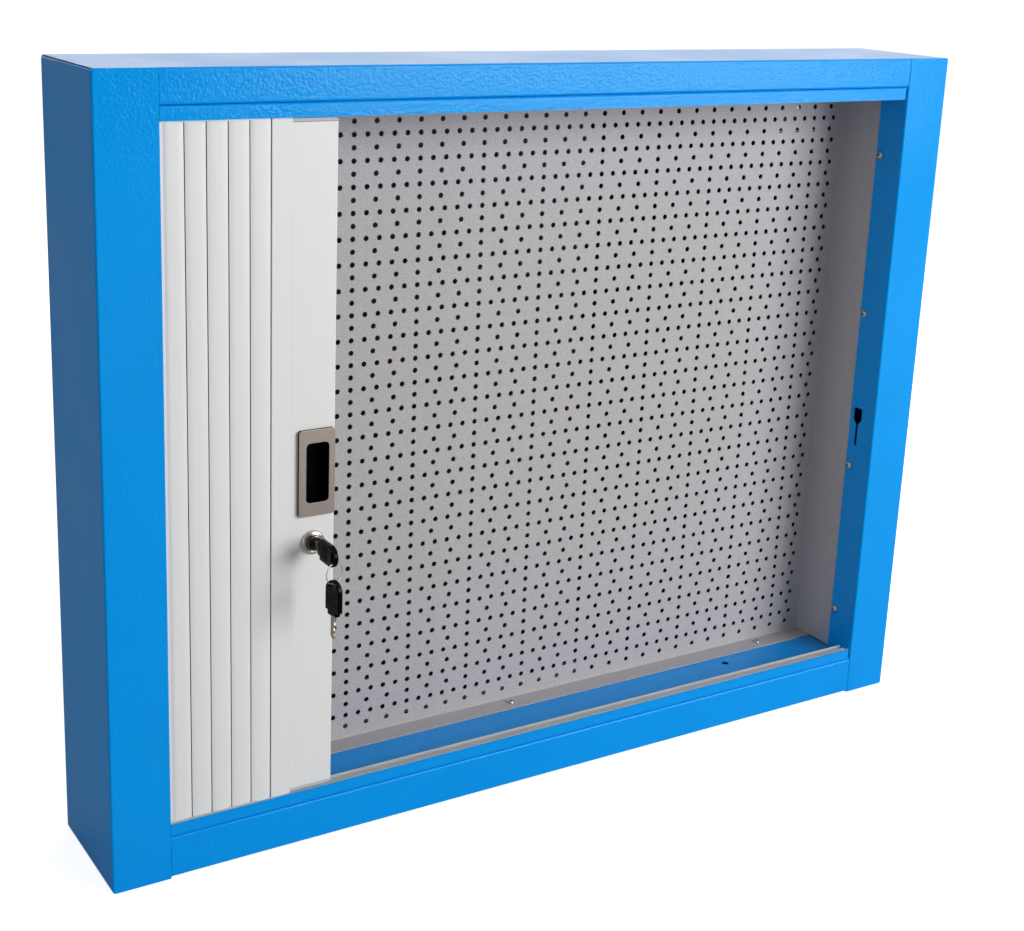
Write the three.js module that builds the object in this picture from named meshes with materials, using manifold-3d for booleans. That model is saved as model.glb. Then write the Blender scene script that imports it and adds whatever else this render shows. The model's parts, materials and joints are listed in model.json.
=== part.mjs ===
// Wall cabinet with a roll front. A folded steel case holds a perforated tool tray. A curtain of
// upright slats runs in an upper and a lower track: in front, round the left corner, behind the tray.
// Millimetres. While it is built, X runs right, Z up from the foot, and Y back from the front face.
import * as THREE from "three";
import { mergeVertices } from "three/addons/utils/BufferGeometryUtils.js";
import Module from "manifold-3d";

const wasm = await Module();
wasm.setup();

// Fits and facets
const GAP = 0.3; // between pieces that touch
const OVERRUN = 2; // how far a cutting solid reaches past what it cuts
const BEND_STEPS = 3;
const ARC_STEPS = 4;
const ROUND_STEPS = 20;
const SMALL_ROUND_STEPS = 10;
const TRAY_HOLE_STEPS = 6;
const RING_STEPS = 24;
const RING_WIRE_STEPS = 6;

// Case
const CASE_WIDTH = 1000;
const CASE_HEIGHT = 777;
const CASE_DEPTH = 140;
const SHEET = 1.2;
const SHEET_BEND = 1.9; // radius at the middle of the sheet
const CORNER_RADIUS = 4;
const SEAM = 0.7; // open joint between a side panel and the top or bottom panel
const STILE_WIDTH = 59;
const TOP_RAIL_HEIGHT = 32;
const BOTTOM_RAIL_TOP = 44.4;
const RAIL_RETURN = 15;
const REAR_FLANGE = 20;
const SIDE_FLANGE = 22;
const STRIKE_FLANGE = 40; // the right stile's return, towards the wall

// Decks: folded shelves that carry the tracks and end in a lip behind the rails
const RAIL_JOINT = 0.4; // between a rail and the deck behind it
const LIP_RISE = 12;
const LIP_END_GAP = 3.4;
const DECK_HOLE_RADIUS = 4.2;
const DECK_HOLE_INSET = 149; // from the opening's edge
const DECK_HOLE_SETBACK = 39.3; // in front of the tray's face

// Tool tray
const TRAY_REAR_SPACE = 24.7; // from the tray's face to the middle of the slats behind it
const TRAY_SIDE_LAP = 10; // over the end of the strike flange
const TRAY_FLANGE = 25;
const TRAY_SIDE_RISE = 1.4;
const HOLE_RADIUS = 2.9;
const DENSE_PITCH = 15;
const ROW_PITCH = 13.05;
const LAST_HOLE_INSET = 15.6; // from the tray's right bend to the last dense column
const FIRST_ROW_RISE = 15.1; // from the deck to the lowest row
const HOLE_COLUMN_STEP = 5; // both kinds of row meet at every fifth dense column
const HOLE_ROW_STEP = 6;

// Curtain and its path
const SLAT_PITCH = 20.5;
const SLAT_THICKNESS = 4.6;
const SLAT_BACK_BEVEL = 0.8;
const SLAT_CROWN = 0.7;
const KNUCKLE_RADIUS = 1;
const KNUCKLE_SETBACK = 0.15; // from a slat's edge to the centre of its socket
const CURTAIN_FRONT_Y = 3.4;
const CURTAIN_REAR_SPACE = 13.3; // from the middle of the slats behind the tray to the back panel
const PATH_RADIUS = 45;
const PATH_SIDE_GAP = 3;
const OPEN_CURTAIN = 106.5; // what shows of the slats when the front is open
const STORED_WEB = 1.4;
const KNUCKLE_PLACING = 3e-5; // how closely a knuckle is placed on the path

// Tracks
const TRACK_WALL = 1;
const TRACK_RIB = 0.8;
const TRACK_CLEARANCE = 0.4; // between a slat's face and the groove
const TRACK_RIB_RISE = 11;
const TRACK_LIP_RISE = 12.3;
const CORNER_TRACK_RISE = 13.3;
const TRACK_REAR_GROOVE = 5.6;
const CORNER_TRACK_RUN = 97; // straight part of the corner track past each bend
const REAR_TRACK_SPARE = 27; // past the last slat

// Lead profile: a slat-thick tail and a hollow handle tube
const LEAD_TAIL = 19.6;
const HANDLE_WIDTH = 46.1;
const HANDLE_DEPTH = 18.6;
const HANDLE_WALL = 1.6;
const HANDLE_EDGE_RADIUS = 2.2;
const HANDLE_RISE = 16.5; // from the deck to the foot of the tube
const END_CAP = 3.4;
const END_CAP_TAPER = 8; // length and rise of the round at its free corner
const END_CAP_TAPER_RISE = 3;

// Flush pull
const PULL_WIDTH = 37.8;
const PULL_HEIGHT = 86.5;
const PULL_INSET = 1.7; // from the handle's free edge
const PULL_PLATE = 1;
const PULL_RIM = 2; // the cup's rim, under the plate
const PULL_RADIUS = 3;
const PULL_DROP = 1; // below the middle of the curtain
const CUP_WIDTH = 24;
const CUP_HEIGHT = 60;
const CUP_SHIFT = 0.65; // from the plate's middle towards the free edge
const CUP_REAR_GAP = 2.5; // to the rear wall of the handle tube
const CUP_WALL = 1.5;
const CUP_RADIUS = 4.5;

// Lock
const LOCK_DROP = 71.2; // below the pull's middle
const LOCK_INSET = 23.2; // from the handle's free edge to the lock's axis
const COLLAR_RADIUS = 12.3;
const COLLAR_EDGE = 1.6;
const COLLAR_RISE = 3.6;
const BARREL_RADIUS = 8.6;
const BARREL_RISE = 6;
const PLUG_RADIUS = 6.3;
const PLUG_RISE = 6.8;
const NUT_SIDES = 6;
const NUT_ACROSS_CORNERS = 26;
const NUT_THICKNESS = 3;
const HOOK_THICKNESS = 3;
const HOOK_WIDTH = 12;
const HOOK_REACH = 34;
const HOOK_THROAT = 27.5; // from the lock's axis to the inside of the nose
const HOOK_NOSE = 16;
const HOOK_BORE_RADIUS = 1.9;

// Strike slot in the right stile's return, by its reach below and above the lock's axis
const SLOT_DROP = 7.5;
const SLOT_TAPER_RISE = 18.5;
const SLOT_SHOULDER_RISE = 23.5;
const SLOT_RISE = 38.5;
const SLOT_WIDE = 13;
const SLOT_CLEARANCE = 0.35;

// Keys
const BOW_LENGTH = 36;
const BOW_WIDTH = 21.5;
const BOW_THICKNESS = 5.6;
const BOW_SHOULDER = 4.5;
const BOW_SHOULDER_WIDTH = 14;
const BOW_ARCH = 11;
const BOW_HOLE_INSET = 4.1; // from the bow's end to the middle of its hole
const BOW_HOLE_WIDTH = 4.8;
const BOW_HOLE_LENGTH = 12.2;
const BLADE_LENGTH = 24;
const BLADE_TANG = 9.7;
const BLADE_WIDTH = 7;
const BLADE_THICKNESS = 2;
const KEY_STANDOFF = 9.4; // from the plug's face to the key's shoulder
const KEYWAY_END = 2; // past the blade's tip
const RING_RADIUS = 10.5;
const RING_WIRE = 0.7;
const RING_PLAY = 0.6; // of the wire at the edge of a hole
const RING_TURN = THREE.MathUtils.degToRad(20);
const SPARE_KEY_TURN = THREE.MathUtils.degToRad(10);
const BITTING_SHARES = [0.1, 0.32, 0.16, 0.38, 0.22, 0.34, 0.12]; // cut depths along the blade

// Screws
const SCREW_HEAD_RADIUS = 3.6;
const SCREW_HEAD = 2.4;
const SIDE_HEAD_RADIUS = 4.6;
const SIDE_HEAD = 3;
const SCREW_RADIUS = 2;
const SCREW_LENGTH = 8;
const SCREW_CLEARANCE = 0.35;
const HOOK_SCREW_LENGTH = 7.4;
const SIDE_SCREW_INSET = 6.4; // from the end of the strike flange
const SIDE_SCREW_START = 98.8;
const SIDE_SCREW_END = 112.4; // below the case's top
const SIDE_SCREWS = 4;
const DECK_SCREW_SETBACK = 12.3; // in front of the tray's face
const DECK_SCREW_END = 76; // from the opening's edge
const DECK_SCREWS = 3;

// Two plates in the back panel, whose keyhole slots hang the case on wall screws
const WALL_PLATE = 2.5;
const WALL_PLATE_WIDTH = 60;
const WALL_PLATE_FOOT = 26; // below the middle of the keyhole's head
const KEYHOLE_INSET = 100;
const KEYHOLE_DROP = 70;
const KEYHOLE_HEAD_RADIUS = 5.5;
const KEYHOLE_NECK_RADIUS = 2.8;
const KEYHOLE_NECK_RISE = 11;

// Places worked out from the sizes above
const halfWidth = CASE_WIDTH / 2;
const openingHalf = halfWidth - STILE_WIDTH;
const topRailBottom = CASE_HEIGHT - TOP_RAIL_HEIGHT;
const panelInset = SHEET + GAP;
const panelHalf = halfWidth - SHEET - SEAM;
const backPanelY = CASE_DEPTH - SHEET - GAP;
const deckRearY = backPanelY - SHEET - GAP;
const footLevel = panelInset; // underside of the bottom panel, on the side panels' flanges
const deckLevel = BOTTOM_RAIL_TOP + RAIL_JOINT + SHEET;
const curtainRearY = backPanelY - SHEET - CURTAIN_REAR_SPACE;
const trayFaceY = curtainRearY - TRAY_REAR_SPACE;
const traySideStart = STRIKE_FLANGE - TRAY_SIDE_LAP;
const sideScrewY = STRIKE_FLANGE - SIDE_SCREW_INSET;
const deckScrewY = trayFaceY - DECK_SCREW_SETBACK;
const trayHalf = openingHalf + SHEET + GAP + SHEET;
const slatHalf = SLAT_THICKNESS / 2;
const curtainY = CURTAIN_FRONT_Y + slatHalf;
const grooveHalf = slatHalf + TRACK_CLEARANCE;
const trackBase = deckLevel + GAP + TRACK_WALL;
const slatFoot = trackBase + GAP;
const pathSideX = -halfWidth + SHEET + PATH_SIDE_GAP + TRACK_WALL + grooveHalf;
const bendX = pathSideX + PATH_RADIUS;
const quarterRun = (PATH_RADIUS * Math.PI) / 2;
const sideRun = curtainRearY - curtainY - 2 * PATH_RADIUS;
const pathEnd = 2 * quarterRun + sideRun;
const leadJointX = -openingHalf + OPEN_CURTAIN;
const handleLeft = leadJointX + LEAD_TAIL;
const handleRight = handleLeft + HANDLE_WIDTH;
const handleRearY = CURTAIN_FRONT_Y + HANDLE_DEPTH;
const handleFoot = deckLevel + HANDLE_RISE;
const slatsNeeded = Math.ceil((2 * openingHalf - LEAD_TAIL - HANDLE_WIDTH) / SLAT_PITCH);
const pullLevel = (BOTTOM_RAIL_TOP + topRailBottom) / 2 - PULL_DROP;
const lockLevel = pullLevel - LOCK_DROP;
const cupDepth = HANDLE_DEPTH - HANDLE_WALL - CUP_REAR_GAP - CUP_WALL;
const pullX = handleRight - PULL_INSET - PULL_WIDTH / 2;
const cupX = pullX + CUP_SHIFT;
const lockX = handleRight - LOCK_INSET;
const nutY = handleRearY + GAP;
const barrelEndY = nutY + NUT_THICKNESS + GAP;
const plugEndY = barrelEndY + GAP;
const hookY = plugEndY + GAP;
const hookEndY = hookY + HOOK_THICKNESS;
const plugFaceY = CURTAIN_FRONT_Y - PLUG_RISE;
const keyY = plugFaceY - KEY_STANDOFF;
const ringY = keyY - BOW_LENGTH + BOW_HOLE_INSET;
const ringSag = RING_RADIUS - Math.sqrt(RING_RADIUS ** 2 - (BOW_THICKNESS / 2) ** 2);
const ringTop = lockLevel - BOW_HOLE_LENGTH / 2 + RING_WIRE + ringSag + RING_PLAY;
const ringLevel = ringTop - RING_RADIUS;
const spareReach =
  (BOW_WIDTH / 2) * Math.cos(SPARE_KEY_TURN) + (BOW_THICKNESS / 2) * Math.sin(SPARE_KEY_TURN);
const frontmostY = ringY - spareReach;

const STEEL_BLUE = { color: 0x0090de, roughness: 0.42, metalness: 0.0 };
const TRAY_GREY = { color: 0xb4b2b8, roughness: 0.55, metalness: 0.0 };
const ALUMINIUM = { color: 0xa9adb0, roughness: 0.35, metalness: 1.0 };
const WHITE = { color: 0xe9e9e7, roughness: 0.45, metalness: 0.0 };
const BLACK = { color: 0x141416, roughness: 0.5, metalness: 0.0 };
const CAP_GREY = { color: 0xc4c8cc, roughness: 0.5, metalness: 0.0 };
const STAINLESS = { color: 0xa89d97, roughness: 0.35, metalness: 1.0 };
const NICKEL = { color: 0xc4bcae, roughness: 0.2, metalness: 1.0 };
const ZINC = { color: 0xc9cdd0, roughness: 0.3, metalness: 1.0 };

const cabinet = new THREE.Group();

function addMesh(name, look, geometry) {
  const mesh = new THREE.Mesh(geometry, new THREE.MeshStandardMaterial(look));
  mesh.name = name;
  cabinet.add(mesh);
  return mesh;
}

// A closed geometry as a solid that can be cut and joined.
function solid(geometry) {
  const bare = geometry.clone();
  bare.deleteAttribute("normal");
  bare.deleteAttribute("uv");
  const merged = mergeVertices(bare);
  return new wasm.Manifold(
    new wasm.Mesh({
      numProp: 3,
      vertProperties: merged.attributes.position.array,
      triVerts: new Uint32Array(merged.index.array),
    }),
  );
}

function geometryOf(body) {
  const mesh = body.getMesh();
  const geometry = new THREE.BufferGeometry();
  geometry.setAttribute("position", new THREE.BufferAttribute(mesh.vertProperties, 3));
  geometry.setIndex(new THREE.BufferAttribute(mesh.triVerts, 1));
  geometry.computeVertexNormals();
  return geometry;
}

const union = (first, ...rest) => rest.reduce((sum, body) => sum.add(body), first);
const cut = (body, ...tools) => tools.reduce((left, tool) => left.subtract(tool), body);

const AXES = {
  x: new THREE.Vector3(1, 0, 0),
  y: new THREE.Vector3(0, 1, 0),
  z: new THREE.Vector3(0, 0, 1),
};

const ascending = (range) => [...range].sort((a, b) => a - b);

// An outline pushed along an axis. Its coordinates are (y, z), (x, z) or (x, y) for the axis x, y or z.
function prismGeometry(shape, axis, from, to) {
  const [start, end] = ascending(axis === "y" ? [-from, -to] : [from, to]);
  const geometry = new THREE.ExtrudeGeometry(shape, {
    depth: 1,
    bevelEnabled: false,
    curveSegments: ARC_STEPS,
  });
  const places = geometry.attributes.position;
  for (let i = 0; i < places.count; i++) places.setZ(i, places.getZ(i) > 0 ? end : start);
  const { x, y, z } = AXES;
  const frame = new THREE.Matrix4();
  if (axis === "x") frame.makeBasis(y, z, x);
  if (axis === "y") frame.makeBasis(x, z, y.clone().negate());
  return geometry.applyMatrix4(frame);
}

const prism = (shape, axis, from, to) => solid(prismGeometry(shape, axis, from, to));

// A box between two places on each axis.
function block(...ranges) {
  const [x, y, z] = ranges.map(ascending);
  const box = new THREE.BoxGeometry();
  const places = box.attributes.position;
  for (let i = 0; i < places.count; i++) {
    const pick = (range, place) => range[Number(place > 0)];
    const [u, v, w] = [places.getX(i), places.getY(i), places.getZ(i)];
    places.setXYZ(i, pick(x, u), pick(y, v), pick(z, w));
  }
  return solid(box);
}

// A round bar or cutting tool along an axis, centred on the two other coordinates.
function rod(axis, radius, from, to, centre, steps = SMALL_ROUND_STEPS) {
  return prism(roundShape(centre, radius, steps), axis, from, to);
}

function polygon(points) {
  return new THREE.Shape(points.map(([u, v]) => new THREE.Vector2(u, v)));
}

function roundPoints([u, v], radius, steps) {
  return Array.from({ length: steps }, (_, i) => {
    const angle = (2 * Math.PI * (i + 0.5)) / steps;
    return new THREE.Vector2(u + radius * Math.cos(angle), v + radius * Math.sin(angle));
  });
}

const roundShape = (centre, radius, steps) => new THREE.Shape(roundPoints(centre, radius, steps));

function roundedRectangle([u0, u1], [v0, v1], radius) {
  const shape = new THREE.Shape();
  shape.absarc(u1 - radius, v0 + radius, radius, -Math.PI / 2, 0);
  shape.absarc(u1 - radius, v1 - radius, radius, 0, Math.PI / 2);
  shape.absarc(u0 + radius, v1 - radius, radius, Math.PI / 2, Math.PI);
  shape.absarc(u0 + radius, v0 + radius, radius, Math.PI, (3 * Math.PI) / 2);
  shape.closePath();
  return shape;
}

// Section of a folded sheet. The line runs along the middle of the sheet, and its corners are bends.
function foldedSheet(line) {
  const points = line.map(([u, v]) => new THREE.Vector2(u, v));
  const stations = [];
  const station = (point, along) =>
    stations.push({ point, across: new THREE.Vector2(-along.y, along.x) });
  points.forEach((point, i) => {
    const before = i > 0 && point.clone().sub(points[i - 1]).normalize();
    const after = i < points.length - 1 && points[i + 1].clone().sub(point).normalize();
    if (!before || !after) {
      station(point, before || after);
      return;
    }
    const turn = Math.atan2(before.cross(after), before.dot(after));
    const tangent = SHEET_BEND * Math.tan(Math.abs(turn) / 2);
    const start = point.clone().addScaledVector(before, -tangent);
    const inward = new THREE.Vector2(-before.y, before.x).multiplyScalar(Math.sign(turn));
    const centre = start.clone().addScaledVector(inward, SHEET_BEND);
    for (let step = 0; step <= BEND_STEPS; step++) {
      const angle = (turn * step) / BEND_STEPS;
      const origin = new THREE.Vector2(0, 0);
      const spoke = inward.clone().multiplyScalar(-SHEET_BEND).rotateAround(origin, angle);
      station(centre.clone().add(spoke), before.clone().rotateAround(origin, angle));
    }
  });
  const side = (sign) =>
    stations.map(({ point, across }) => point.clone().addScaledVector(across, (sign * SHEET) / 2));
  return new THREE.Shape([...side(1), ...side(-1).reverse()]);
}

// The case's outer form, which rounds the corners of the side, top and bottom panels.
function withinCase(body) {
  const front = roundedRectangle([-halfWidth, halfWidth], [0, CASE_HEIGHT], CORNER_RADIUS);
  const flank = new THREE.Shape();
  flank.moveTo(-OVERRUN, 0);
  flank.lineTo(CASE_DEPTH - CORNER_RADIUS, 0);
  flank.absarc(CASE_DEPTH - CORNER_RADIUS, CORNER_RADIUS, CORNER_RADIUS, -Math.PI / 2, 0);
  flank.absarc(CASE_DEPTH - CORNER_RADIUS, CASE_HEIGHT - CORNER_RADIUS, CORNER_RADIUS, 0, Math.PI / 2);
  flank.lineTo(-OVERRUN, CASE_HEIGHT);
  flank.closePath();
  return body
    .intersect(prism(front, "y", -OVERRUN, CASE_DEPTH + OVERRUN))
    .intersect(prism(flank, "x", -halfWidth - OVERRUN, halfWidth + OVERRUN));
}

// The upper deck, track and end cap are the lower ones turned over about the middle of the opening.
const levelOf = (upper, z) => (upper ? topRailBottom + BOTTOM_RAIL_TOP - z : z);

// Stations along the curtain's path seen from above, by the travel past the start of the front bend.
function pathStation(travel) {
  const place = (x, y, alongX, alongY) => ({
    point: new THREE.Vector2(x, y),
    outward: new THREE.Vector2(-alongY, alongX),
  });
  const cornerY = curtainY + PATH_RADIUS;
  const rearCornerY = curtainRearY - PATH_RADIUS;
  if (travel <= 0) return place(bendX - travel, curtainY, -1, 0);
  if (travel <= quarterRun) {
    const turn = travel / PATH_RADIUS;
    const [s, c] = [Math.sin(turn), Math.cos(turn)];
    return place(bendX - PATH_RADIUS * s, cornerY - PATH_RADIUS * c, -c, s);
  }
  if (travel <= quarterRun + sideRun) return place(pathSideX, cornerY + travel - quarterRun, 0, 1);
  if (travel <= 2 * quarterRun + sideRun) {
    const turn = (travel - quarterRun - sideRun) / PATH_RADIUS;
    const [s, c] = [Math.sin(turn), Math.cos(turn)];
    return place(bendX - PATH_RADIUS * c, rearCornerY + PATH_RADIUS * s, s, c);
  }
  return place(bendX + travel - 2 * quarterRun - sideRun, curtainRearY, 1, 0);
}

// A strip of the floor plan between two offsets from the path. A positive offset is outwards.
function pathBand([inner, outer], [start, end]) {
  const bends = [0, quarterRun + sideRun].flatMap((bend) =>
    Array.from({ length: 2 * ARC_STEPS + 1 }, (_, i) => bend + (quarterRun * i) / (2 * ARC_STEPS)),
  );
  const travels = [start, ...bends.filter((travel) => travel > start && travel < end), end];
  const side = (offset) =>
    travels.map((travel) => {
      const { point, outward } = pathStation(travel);
      return point.clone().addScaledVector(outward, offset);
    });
  return new THREE.Shape([...side(outer), ...side(inner).reverse()]);
}

function makeSidePanels() {
  const half = SHEET / 2;
  const left = [
    [-openingHalf, half],
    [-halfWidth + half, half],
    [-halfWidth + half, CASE_DEPTH - half],
    [-halfWidth + REAR_FLANGE, CASE_DEPTH - half],
  ];
  const right = left.map(([x, y]) => [-x, y]);
  right[0] = [openingHalf + half, half];
  right.unshift([openingHalf + half, STRIKE_FLANGE]);
  const flangeY = [half, CASE_DEPTH - half];
  const flange = (side, level) =>
    block(
      [half, half + SIDE_FLANGE].map((inset) => side * (halfWidth - inset)),
      flangeY,
      [level, level + SHEET],
    );
  const topFlange = CASE_HEIGHT - SHEET - GAP - SHEET;
  const panel = (line, side) =>
    withinCase(
      union(
        prism(foldedSheet(line), "z", 0, CASE_HEIGHT),
        flange(side, 0),
        flange(side, topFlange),
      ),
    );
  const notchX = [openingHalf - OVERRUN, openingHalf + SHEET + SHEET_BEND];
  const notchY = [SHEET + GAP, STRIKE_FLANGE + OVERRUN];
  const lowNotch = block(notchX, notchY, [-OVERRUN, footLevel + SHEET + GAP]);
  const highNotch = block(notchX, notchY, [topFlange - GAP, CASE_HEIGHT + OVERRUN]);
  const strikeX = [openingHalf - OVERRUN, openingHalf + SHEET + OVERRUN];
  const screwHoles = sideScrewLevels().map((z) =>
    rod("x", SCREW_RADIUS + SCREW_CLEARANCE, ...strikeX, [sideScrewY, z]),
  );
  addMesh("left_side_panel", STEEL_BLUE, geometryOf(panel(left, -1)));
  addMesh(
    "right_side_panel",
    STEEL_BLUE,
    geometryOf(cut(panel(right, 1), lowNotch, highNotch, strikeSlot(strikeX), ...screwHoles)),
  );
}

// Places spread evenly from one to another, both included.
const spread = (count, from, to) =>
  Array.from({ length: count }, (_, i) => from + ((to - from) * i) / (count - 1));

const sideScrewLevels = () => spread(SIDE_SCREWS, SIDE_SCREW_START, CASE_HEIGHT - SIDE_SCREW_END);

const deckScrewPlaces = () =>
  spread(DECK_SCREWS, -openingHalf + DECK_SCREW_END, openingHalf - DECK_SCREW_END);

// The slot is narrow where the hook comes to rest and wide above, where it swings in.
function strikeSlot(range) {
  const middle = hookY + HOOK_THICKNESS / 2;
  const narrow = HOOK_THICKNESS / 2 + SLOT_CLEARANCE;
  const wide = SLOT_WIDE / 2;
  const outline = [
    [-narrow, -SLOT_DROP],
    [narrow, -SLOT_DROP],
    [narrow, SLOT_TAPER_RISE],
    [wide, SLOT_SHOULDER_RISE],
    [wide, SLOT_RISE],
    [-wide, SLOT_RISE],
    [-wide, SLOT_SHOULDER_RISE],
    [-narrow, SLOT_TAPER_RISE],
  ].map(([across, rise]) => [middle + across, lockLevel + rise]);
  return prism(polygon(outline), "x", ...range);
}

// The top and bottom panels: a rail in front, a plate between the side panels and a flange behind.
function makeCasePlates() {
  const half = SHEET / 2;
  const railX = openingHalf - GAP;
  const plates = [
    { name: "top_panel", rail: topRailBottom, plate: CASE_HEIGHT, inward: -1 },
    { name: "bottom_panel", rail: BOTTOM_RAIL_TOP, plate: footLevel, inward: 1 },
  ];
  plates.forEach(({ name, rail, plate, inward }) => {
    const line = [
      [RAIL_RETURN, rail - inward * half],
      [half, rail - inward * half],
      [half, plate + inward * half],
      [CASE_DEPTH - half, plate + inward * half],
      [CASE_DEPTH - half, plate + inward * REAR_FLANGE],
    ];
    const wide = block(
      [-panelHalf, panelHalf],
      [panelInset, backPanelY],
      [plate, plate + inward * SHEET],
    );
    const folded = prism(foldedSheet(line), "x", -railX, railX);
    addMesh(name, STEEL_BLUE, geometryOf(withinCase(union(folded, wide))));
  });
}

// The back panel. In each of its upper notches a stronger plate lies flush with the rear flanges.
function makeBackPanel() {
  const half = halfWidth - SHEET - SHEET_BEND;
  const top = CASE_HEIGHT - 2 * (SHEET + GAP) - SHEET;
  const headLevel = CASE_HEIGHT - KEYHOLE_DROP;
  const neckTop = headLevel + KEYHOLE_NECK_RISE;
  const foot = headLevel - WALL_PLATE_FOOT;
  const plateY = [CASE_DEPTH - WALL_PLATE, CASE_DEPTH];
  const plateTop = CASE_HEIGHT - REAR_FLANGE - GAP;
  const run = [plateY[0] - OVERRUN, CASE_DEPTH + OVERRUN];
  const across = (x, reach) => [x - reach, x + reach];
  const sheetY = [backPanelY - SHEET, backPanelY];
  const sheet = block([-half, half], sheetY, [footLevel + SHEET + SHEET_BEND, top]);
  const notches = ["left_wall_plate", "right_wall_plate"].map((name, i) => {
    const x = (halfWidth - KEYHOLE_INSET) * (i ? 1 : -1);
    const keyhole = union(
      rod("y", KEYHOLE_HEAD_RADIUS, ...run, [x, headLevel]),
      rod("y", KEYHOLE_NECK_RADIUS, ...run, [x, neckTop]),
      block(across(x, KEYHOLE_NECK_RADIUS), run, [headLevel, neckTop]),
    );
    const plate = block(across(x, WALL_PLATE_WIDTH / 2), plateY, [foot, plateTop]);
    addMesh(name, ZINC, geometryOf(cut(plate, keyhole)));
    return block(across(x, WALL_PLATE_WIDTH / 2 + GAP), run, [foot - GAP, top + OVERRUN]);
  });
  addMesh("back_panel", STEEL_BLUE, geometryOf(cut(sheet, ...notches)));
}

function makeDecks() {
  const half = SHEET / 2;
  const holeX = openingHalf - DECK_HOLE_INSET;
  [false, true].forEach((upper) => {
    const level = (z) => levelOf(upper, z);
    const legEnd = upper ? CASE_HEIGHT - 2 * (SHEET + GAP) - SHEET : footLevel + SHEET + GAP;
    const folded = [
      [half, level(deckLevel + LIP_RISE)],
      [half, level(deckLevel - half)],
      [deckRearY - half, level(deckLevel - half)],
      [deckRearY - half, legEnd],
    ];
    const levels = [level(deckLevel), level(deckLevel - SHEET)];
    const holeRange = [level(deckLevel - SHEET - OVERRUN), level(deckLevel + OVERRUN)];
    const screwRadius = SCREW_RADIUS + SCREW_CLEARANCE;
    const hole = (radius, x, y) => rod("z", radius, ...holeRange, [x, y]);
    const holes = [
      ...[-holeX, holeX].map((x) => hole(DECK_HOLE_RADIUS, x, trayFaceY - DECK_HOLE_SETBACK)),
      ...deckScrewPlaces().map((x) => hole(screwRadius, x, deckScrewY)),
    ];
    const plate = block([-panelHalf, openingHalf - GAP], [panelInset, deckRearY - SHEET_BEND], levels);
    const lipped = prism(foldedSheet(folded), "x", -openingHalf + GAP, openingHalf - LIP_END_GAP);
    const deck = cut(union(lipped, plate), ...holes);
    addMesh(upper ? "upper_deck" : "lower_deck", STEEL_BLUE, geometryOf(deck));
  });
}

// The tray is punched in rows of two pitches by turns. Cut here are holes that both kinds of row share.
function makeTray() {
  const [low, high] = [deckLevel + GAP, levelOf(true, deckLevel + GAP)];
  const face = polygon([
    [-trayHalf, low],
    [trayHalf, low],
    [trayHalf, high],
    [-trayHalf, high],
  ]);
  const lastColumn = openingHalf - LAST_HOLE_INSET - 2 * DENSE_PITCH;
  const columnPitch = HOLE_COLUMN_STEP * DENSE_PITCH;
  const rowPitch = HOLE_ROW_STEP * ROW_PITCH;
  const firstRow = deckLevel + FIRST_ROW_RISE;
  for (let x = lastColumn; x > LAST_HOLE_INSET / 2 - openingHalf; x -= columnPitch)
    for (let z = firstRow; z < levelOf(true, firstRow); z += rowPitch)
      face.holes.push(new THREE.Path(roundPoints([x, z], HOLE_RADIUS, TRAY_HOLE_STEPS)));
  const rearY = trayFaceY + SHEET;
  const [sideLow, sideHigh] = [low + SHEET + TRAY_SIDE_RISE, high - SHEET - TRAY_SIDE_RISE];
  const flangeStart = rearY - TRAY_FLANGE;
  const flangeX = [-openingHalf + GAP, openingHalf - GAP];
  const flanges = [
    block([trayHalf - SHEET, trayHalf], [traySideStart, rearY], [sideLow, sideHigh]),
    block([-trayHalf, -trayHalf + SHEET], [flangeStart, rearY], [sideLow, sideHigh]),
    block(flangeX, [flangeStart, rearY], [low, low + SHEET]),
    block(flangeX, [flangeStart, rearY], [high - SHEET, high]),
  ];
  const sideRange = [trayHalf - SHEET - OVERRUN, trayHalf + OVERRUN];
  const radius = SCREW_RADIUS + SCREW_CLEARANCE;
  const slotMargin = (SLOT_WIDE - HOOK_THICKNESS) / 2;
  const slotNotch = block(
    sideRange,
    [traySideStart - OVERRUN, hookY + SLOT_WIDE / 2 + slotMargin],
    [lockLevel - SLOT_DROP - SLOT_WIDE, lockLevel + SLOT_RISE + slotMargin],
  );
  const holes = [
    slotNotch,
    ...sideScrewLevels().map((z) => rod("x", radius, ...sideRange, [sideScrewY, z])),
    ...deckScrewPlaces().map((x) => rod("z", radius, low - OVERRUN, high + OVERRUN, [x, deckScrewY])),
  ];
  const plate = prism(face, "y", trayFaceY, rearY);
  addMesh("tool_tray", TRAY_GREY, geometryOf(cut(union(plate, ...flanges), ...holes)));
}

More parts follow.
